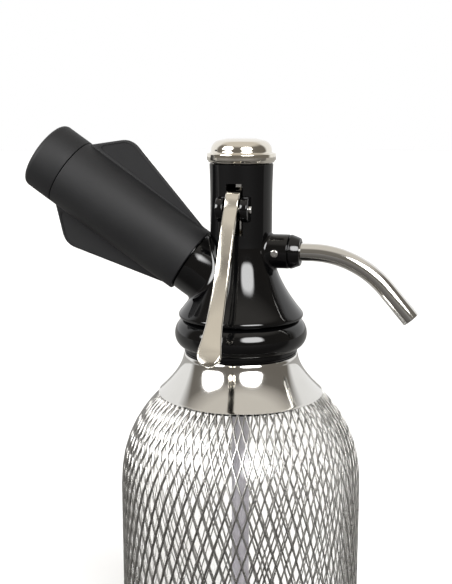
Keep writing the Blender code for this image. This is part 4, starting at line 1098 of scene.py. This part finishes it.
tip_at = lever_length - TIP_W / 2
spots = list(np.linspace(0, tip_at, 170))
spots += [tip_at + TIP_W / 2 * math.sin(t) for t in np.linspace(0, QUARTER, 18)[1:]]
rings = [lever_section(spot) for spot in spots]
count = len(rings[0])
vertices = [point for ring_points in rings for point in ring_points]
faces = []
for low in range(0, (len(rings) - 1) * count, count):
    high = low + count
    faces += [(low + s, low + (s + 1) % count, high + (s + 1) % count, high + s) for s in range(count)]
faces += [list(range(count)), [(len(rings) - 1) * count + s for s in range(count)]]
bar = finished("thumb_lever", vertices, faces)
hub_outline = bent((pivot.y, pivot.z), (5.0 * MM, 5.0 * MM), 0, 352, 44)
hub = plate("lever_hub", hub_outline, LEVER_W, side_on, 0.5 * MM)
FORK_HALF_W = 1.9 * MM
fork = box_between("fork_cut", (-FORK_HALF_W, -2.7 * MM, finger_z - 4 * MM),
                   (FORK_HALF_W, finger_end + 2 * MM, finger_z + 4 * MM))
lever = shaped(bar, (hub,), (fork, pin_bore("lever_hole")))
settle(lever, nickel, "lever", "polished_nickel", "lever")

# %% Lever pin
pin_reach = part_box("lever_pin")[1].x
pin_r = 1.8 * MM
PIN_ROUND = 0.5 * MM
pin_outline = [(0.0, pin_reach)]
pin_outline += bent((pin_r - PIN_ROUND, pin_reach - PIN_ROUND), (PIN_ROUND, PIN_ROUND), 80, 0, 5)
pin_outline += [(radius, -height) for radius, height in pin_outline[::-1]]
pin_place = Matrix.Translation(pivot) @ Matrix.Rotation(QUARTER, 4, "Y")
pin = turned("riveted_lever_pin", pin_outline, pin_place, 48)
settle(pin, steel, "head", "polished_steel", "lever_pin")

# %% [markdown]
# ## Top cap
# The cap is turned from brass and nickel plated: a plain band below, a narrower drum above it and a
# low crown.  The rounded corners between them draw the bright rings that show it is plated metal.

# %% Top cap
cap_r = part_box("top_cap")[1].x
dome_r = cap_r - 1.85 * MM
CROWN_ROUND = 4.9 * MM
CROWN_RISE = 0.7 * MM
side_z = cap_top_z - CROWN_RISE - CROWN_ROUND
crown = [(0.0, cap_top_z)]
crown += bent((0, cap_top_z - 1.0 * MM), (dome_r - CROWN_ROUND * 0.55, 1.0 * MM), 78, 52, 5)
crown += bent((dome_r - CROWN_ROUND, side_z), (CROWN_ROUND, CROWN_ROUND), 66, 0, 18)
cap_bore_r = cap_spigot_r + GAP
roof_z = cap_z + 7 * MM
drum = [crown[-1], (dome_r + 0.3 * MM, cap_z + 4.4 * MM), (cap_r, cap_z + 4.0 * MM),
        (cap_r, cap_z + 1.1 * MM), (cap_r - 0.7 * MM, cap_z + 0.6 * MM), (cap_r - 0.75 * MM, cap_z),
        (cap_bore_r, cap_z), (cap_bore_r, roof_z)]
drum = softened(drum, 0.45 * MM, 4, False)[1:]
cap = turned("plated_cap", crown + drum + [(0.0, roof_z)])
settle(cap, nickel, "cap", "polished_nickel", "top_cap")

# %% [markdown]
# ## Charger holder
# The holder is a moulded sleeve with a screwed end cap.  Two fins give the hand something to turn
# it by: each is a thin web with a slightly raised border, and it grows out of the sleeve, so web and
# sleeve are joined and the shallow pockets between border and root are cut afterwards.

# %% Sleeve and fins
sleeve_r = 15.9 * MM
sleeve_end_r = 16.6 * MM
sleeve_start = INLET_END + GAP
sleeve_end = 99.2 * MM
sleeve_bore_r = THREAD_R + GAP
FIN_ROOT = 1.1 * MM
FIN_T = 2.2 * MM
FIN_PEAK = (30.2 * MM, 83.4 * MM)
on_holder = along(holder_from, holder_axis)
sleeve_outline = [(sleeve_end_r, sleeve_end), (sleeve_r, sleeve_start), (sleeve_bore_r, sleeve_start),
                  (sleeve_bore_r, sleeve_end)]
holder = turned("moulded_holder", softened(sleeve_outline, 0.45 * MM, 4), on_holder)


def inset(outline, distance):
    """A convex outline moved inwards by a distance."""
    points = [Vector(point) for point in outline]
    middle = sum(points, Vector((0, 0))) / len(points)
    moved = []
    for index, corner in enumerate(points):
        before = (corner - points[index - 1]).normalized()
        after = (points[(index + 1) % len(points)] - corner).normalized()
        mitre = Vector((-(before + after).y, (before + after).x)).normalized()
        mitre *= 1 if mitre.dot(middle - corner) > 0 else -1
        moved.append(tuple(corner + mitre * distance / max(abs(mitre.cross(before)), 0.3)))
    return moved


fin = [(sleeve_r - FIN_ROOT, sleeve_start + 3 * MM), (sleeve_r, sleeve_start + 3 * MM), FIN_PEAK,
       (sleeve_end_r, sleeve_end - 1 * MM), (sleeve_r - FIN_ROOT, sleeve_end - 1 * MM)]
fin_rounded = fin[:2] + softened(fin[1:4], 5.3 * MM, 12, False)[1:-1] + fin[3:]
web = [(sleeve_r + 0.25 * MM, sleeve_start + 3.9 * MM), FIN_PEAK,
       (sleeve_end_r + 0.25 * MM, sleeve_end - 1.25 * MM)]
web = softened(inset(web, 1.15 * MM), 4.4 * MM, 8)
fins, pockets = [], []
for side, name in ((0.0, "fin_up"), (math.pi, "fin_down")):
    stand = on_holder @ Matrix.Rotation(side, 4, "Z") @ Matrix.Rotation(QUARTER, 4, "X")
    fins.append(plate(name, fin_rounded, FIN_T, stand, 0.35 * MM))
    for face_side in (-1, 1):
        shift = Matrix.Translation((0, 0, face_side * (FIN_T / 2 + 0.22 * MM)))
        pockets.append(plate(f"{name}_pocket_{face_side}", web, 1.0 * MM, stand @ shift))
holder = shaped(holder, fins, pockets)
settle(holder, matte_black, "holder", "matte_black", "holder_sleeve")

# %% Holder cap
END_L = 15.4 * MM
END_T = 6 * MM
END_SPIGOT_H = 6 * MM
END_ROUND = 2.6 * MM
end_start = sleeve_end + GAP
end_top = end_start + END_L
spigot_end = end_start - END_SPIGOT_H
end_face = [(0.0, end_top)]
end_face += bent((sleeve_end_r - END_ROUND, end_top - END_ROUND), (END_ROUND, END_ROUND), 90, 0, 12)
end_wall = [end_face[-1], (sleeve_end_r, end_start), (THREAD_R, end_start), (THREAD_R, spigot_end),
            (CHARGER_BORE_R, spigot_end), (CHARGER_BORE_R, end_top - END_T)]
end_outline = end_face + softened(end_wall, 0.4 * MM, 3, False)[1:] + [(0.0, end_top - END_T)]
end_cap = turned("moulded_end_cap", end_outline, on_holder)
settle(end_cap, matte_black, "holder", "matte_black", "holder_cap")

# %% [markdown]
# ## Riser tube and the pieces inside
# The grey riser tube shows through the mesh and the glass, so it is made smooth too.  The seals, the
# valve, the clamp and the gas charger are seldom seen: they keep their engineering shapes and only
# take the finish of their slot.

# %% Riser tube
riser_low, riser_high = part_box("riser_tube")[0].z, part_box("riser_tube")[1].z
RISER_R = 4.2 * MM
RISER_BORE_R = 3 * MM
riser_outline = softened([(RISER_R, riser_high), (RISER_R, riser_low), (RISER_BORE_R, riser_low),
                          (RISER_BORE_R, riser_high)], 0.3 * MM)
riser = turned("clear_riser", riser_outline, steps=64)
settle(riser, riser_plastic, "head", "riser_plastic", "riser_tube")

# %% Finishes of the kept pieces
finishes = {"gloss_black": gloss_black, "matte_black": matte_black, "polished_nickel": nickel,
            "polished_steel": steel, "mesh_steel": mesh_steel, "brass": brass, "aluminium": aluminium,
            "clear_glass": glass, "foot_rubber": foot_rubber, "seal_rubber": seal_rubber,
            "white_plastic": white_plastic, "riser_plastic": riser_plastic}
kept = []
for part in frame["record"]["subparts"]:
    node = frame["nodes"][part["node"]]
    if not node.hide_render:
        for material_slot in node.material_slots:
            material_slot.material = finishes[part["material_slot"]]
        kept.append(part["node"])
print("kept pieces:", kept)

# %% [markdown]
# ## Floor and room
# Polished metal and glossy black show mostly what stands around them.  Lamps could light them, but a
# room that gives the light itself also decides what every shiny surface mirrors, so the room is
# painted by direction: two soft-edged bright panels in front give the windows on the cap, the collar
# and the black parts, a dim brown wall in front gives the grey-brown between them, and white behind
# and at the sides draws the pale edges.  The floor and the room look plain and pale when they are
# seen straight on or through the glass; only light and reflections meet the painted room, and for
# them the floor is painted too: a painted shade, nearly black in front and grey at the sides and
# behind.

# %% Floor
FLOOR_R = 6.0
floor_work = bmesh.new()
bmesh.ops.create_circle(floor_work, cap_ends=True, segments=96, radius=FLOOR_R)
floor_mesh = bpy.data.meshes.new("floor")
floor_work.to_mesh(floor_mesh)
floor_work.free()
floor = bpy.data.objects.new("floor", floor_mesh)
scene.collection.objects.link(floor)
pale, pale_shader, pale_place = new_finish("pale_floor", Roughness=0.9)
TOWARD_FRONT = (math.sin(VIEW_TURN), -math.cos(VIEW_TURN), 0.0)


def along_way(place, way):
    """How far a place or a direction lies along a given way."""
    return place.through("ShaderNodeVectorMath", {"operation": "DOT_PRODUCT"}, {0: place, 1: way}, "Value")


def mixed(share, low, high):
    """One colour or another, by a share from 0 to 1; each may be a signal."""
    return share.through("ShaderNodeMix", {"data_type": "RGBA"}, {0: share, 6: low, 7: high}, 2)


def seen_directly(tree):
    """1 where the eye meets a surface itself or through glass, and 0 for light and reflections."""
    ways = tree.nodes.new("ShaderNodeLightPath").outputs
    return Signal(ways["Is Camera Ray"]).maths("MAXIMUM", Signal(ways["Is Camera Ray"]),
                                               Signal(ways["Is Transmission Ray"]))


# For light and reflections the floor's colour is a painted shade: nearly black in front, grey at the sides and
# behind. Seen straight on or through the glass, the floor is plain and pale.
forward = along_way(pale_place, TOWARD_FRONT)
before = ((forward + 0.04) / 0.14).clamped()
painted_floor_shade = before.between((0.21, 0.208, 0.203), (0.035, 0.032, 0.029))
plain = pale_place.noise(8.0).between((0.64, 0.64, 0.64), (0.68, 0.68, 0.68))
feed(pale_shader, Base_Color=mixed(seen_directly(pale.node_tree), painted_floor_shade, plain))
floor.data.materials.append(pale)
floor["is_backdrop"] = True
print("floor radius", FLOOR_R, "m")

# %% Room
room = bpy.data.worlds.new("room")
scene.world = room
room.use_nodes = True
room_tree = room.node_tree
backdrop = room_tree.nodes["Background"]
look = Signal(room_tree.nodes.new("ShaderNodeTexCoord").outputs["Generated"])
front_share = along_way(look, TOWARD_FRONT)
height_share = look.through("ShaderNodeSeparateXYZ", {}, {0: look}, "Z")
in_front = ((front_share + 0.38) / 0.2).clamped()
overhead = ((height_share - 0.66) / 0.2).clamped()
wall_colour = in_front.between((1.0, 1.0, 1.0), (0.18, 0.165, 0.145))
CORNER_POWER = 3.0
PANEL_LIGHT = 16.0
WHITE = (1.0, 1.0, 1.0, 1.0)


def soft_window(turn_from_view, half_turn, low, high, edge):
    """How much of a soft-edged lit panel stands in a direction, from 0 to 1.

    The panel is a rounded rectangle; its middle, half width and lower and upper edge are in degrees.
    """
    heading = -QUARTER + VIEW_TURN + math.radians(turn_from_view)
    out = (math.cos(heading), math.sin(heading), 0.0)
    across = (-math.sin(heading), math.cos(heading), 0.0)
    low_z, high_z = math.sin(math.radians(low)), math.sin(math.radians(high))
    facing = along_way(look, out)
    side = abs(along_way(look, across) / facing / math.tan(math.radians(half_turn))) ** CORNER_POWER
    rise = abs((height_share - (low_z + high_z) / 2) / ((high_z - low_z) / 2)) ** CORNER_POWER
    panel = ((1.0 + edge - (side + rise) ** (1 / CORNER_POWER)) / (2 * edge)).clamped()
    return panel * (facing * 50.0).clamped()


room_colour = mixed(overhead, wall_colour, (0.72, 0.68, 0.62, 1.0))
panels = soft_window(21, half_turn=20, low=15, high=46, edge=0.16)
panels += soft_window(-58, half_turn=20, low=15, high=46, edge=0.16)
lit = mixed(panels.clamped(), room_colour, (PANEL_LIGHT, PANEL_LIGHT, PANEL_LIGHT, 1.0))
room_tree.links.new(mixed(seen_directly(room_tree), lit, WHITE).socket, backdrop.inputs["Color"])
backdrop.inputs["Strength"].default_value = 1.0
print("room nodes:", len(room_tree.nodes))

# %% [markdown]
# ## Check and finish
# The box of the finished look must agree with the engineering model's box, because the part is placed
# by it.

# %% Sizes and finish
visual_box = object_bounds()
sizes = {"cad": [list(corner) for corner in cad_box], "visual": [list(corner) for corner in visual_box]}
off_by = [(b - a) / MM for low, high in zip(*sizes.values()) for a, b in zip(low, high)]
print("size off by", [round(value, 2) for value in off_by], "mm")
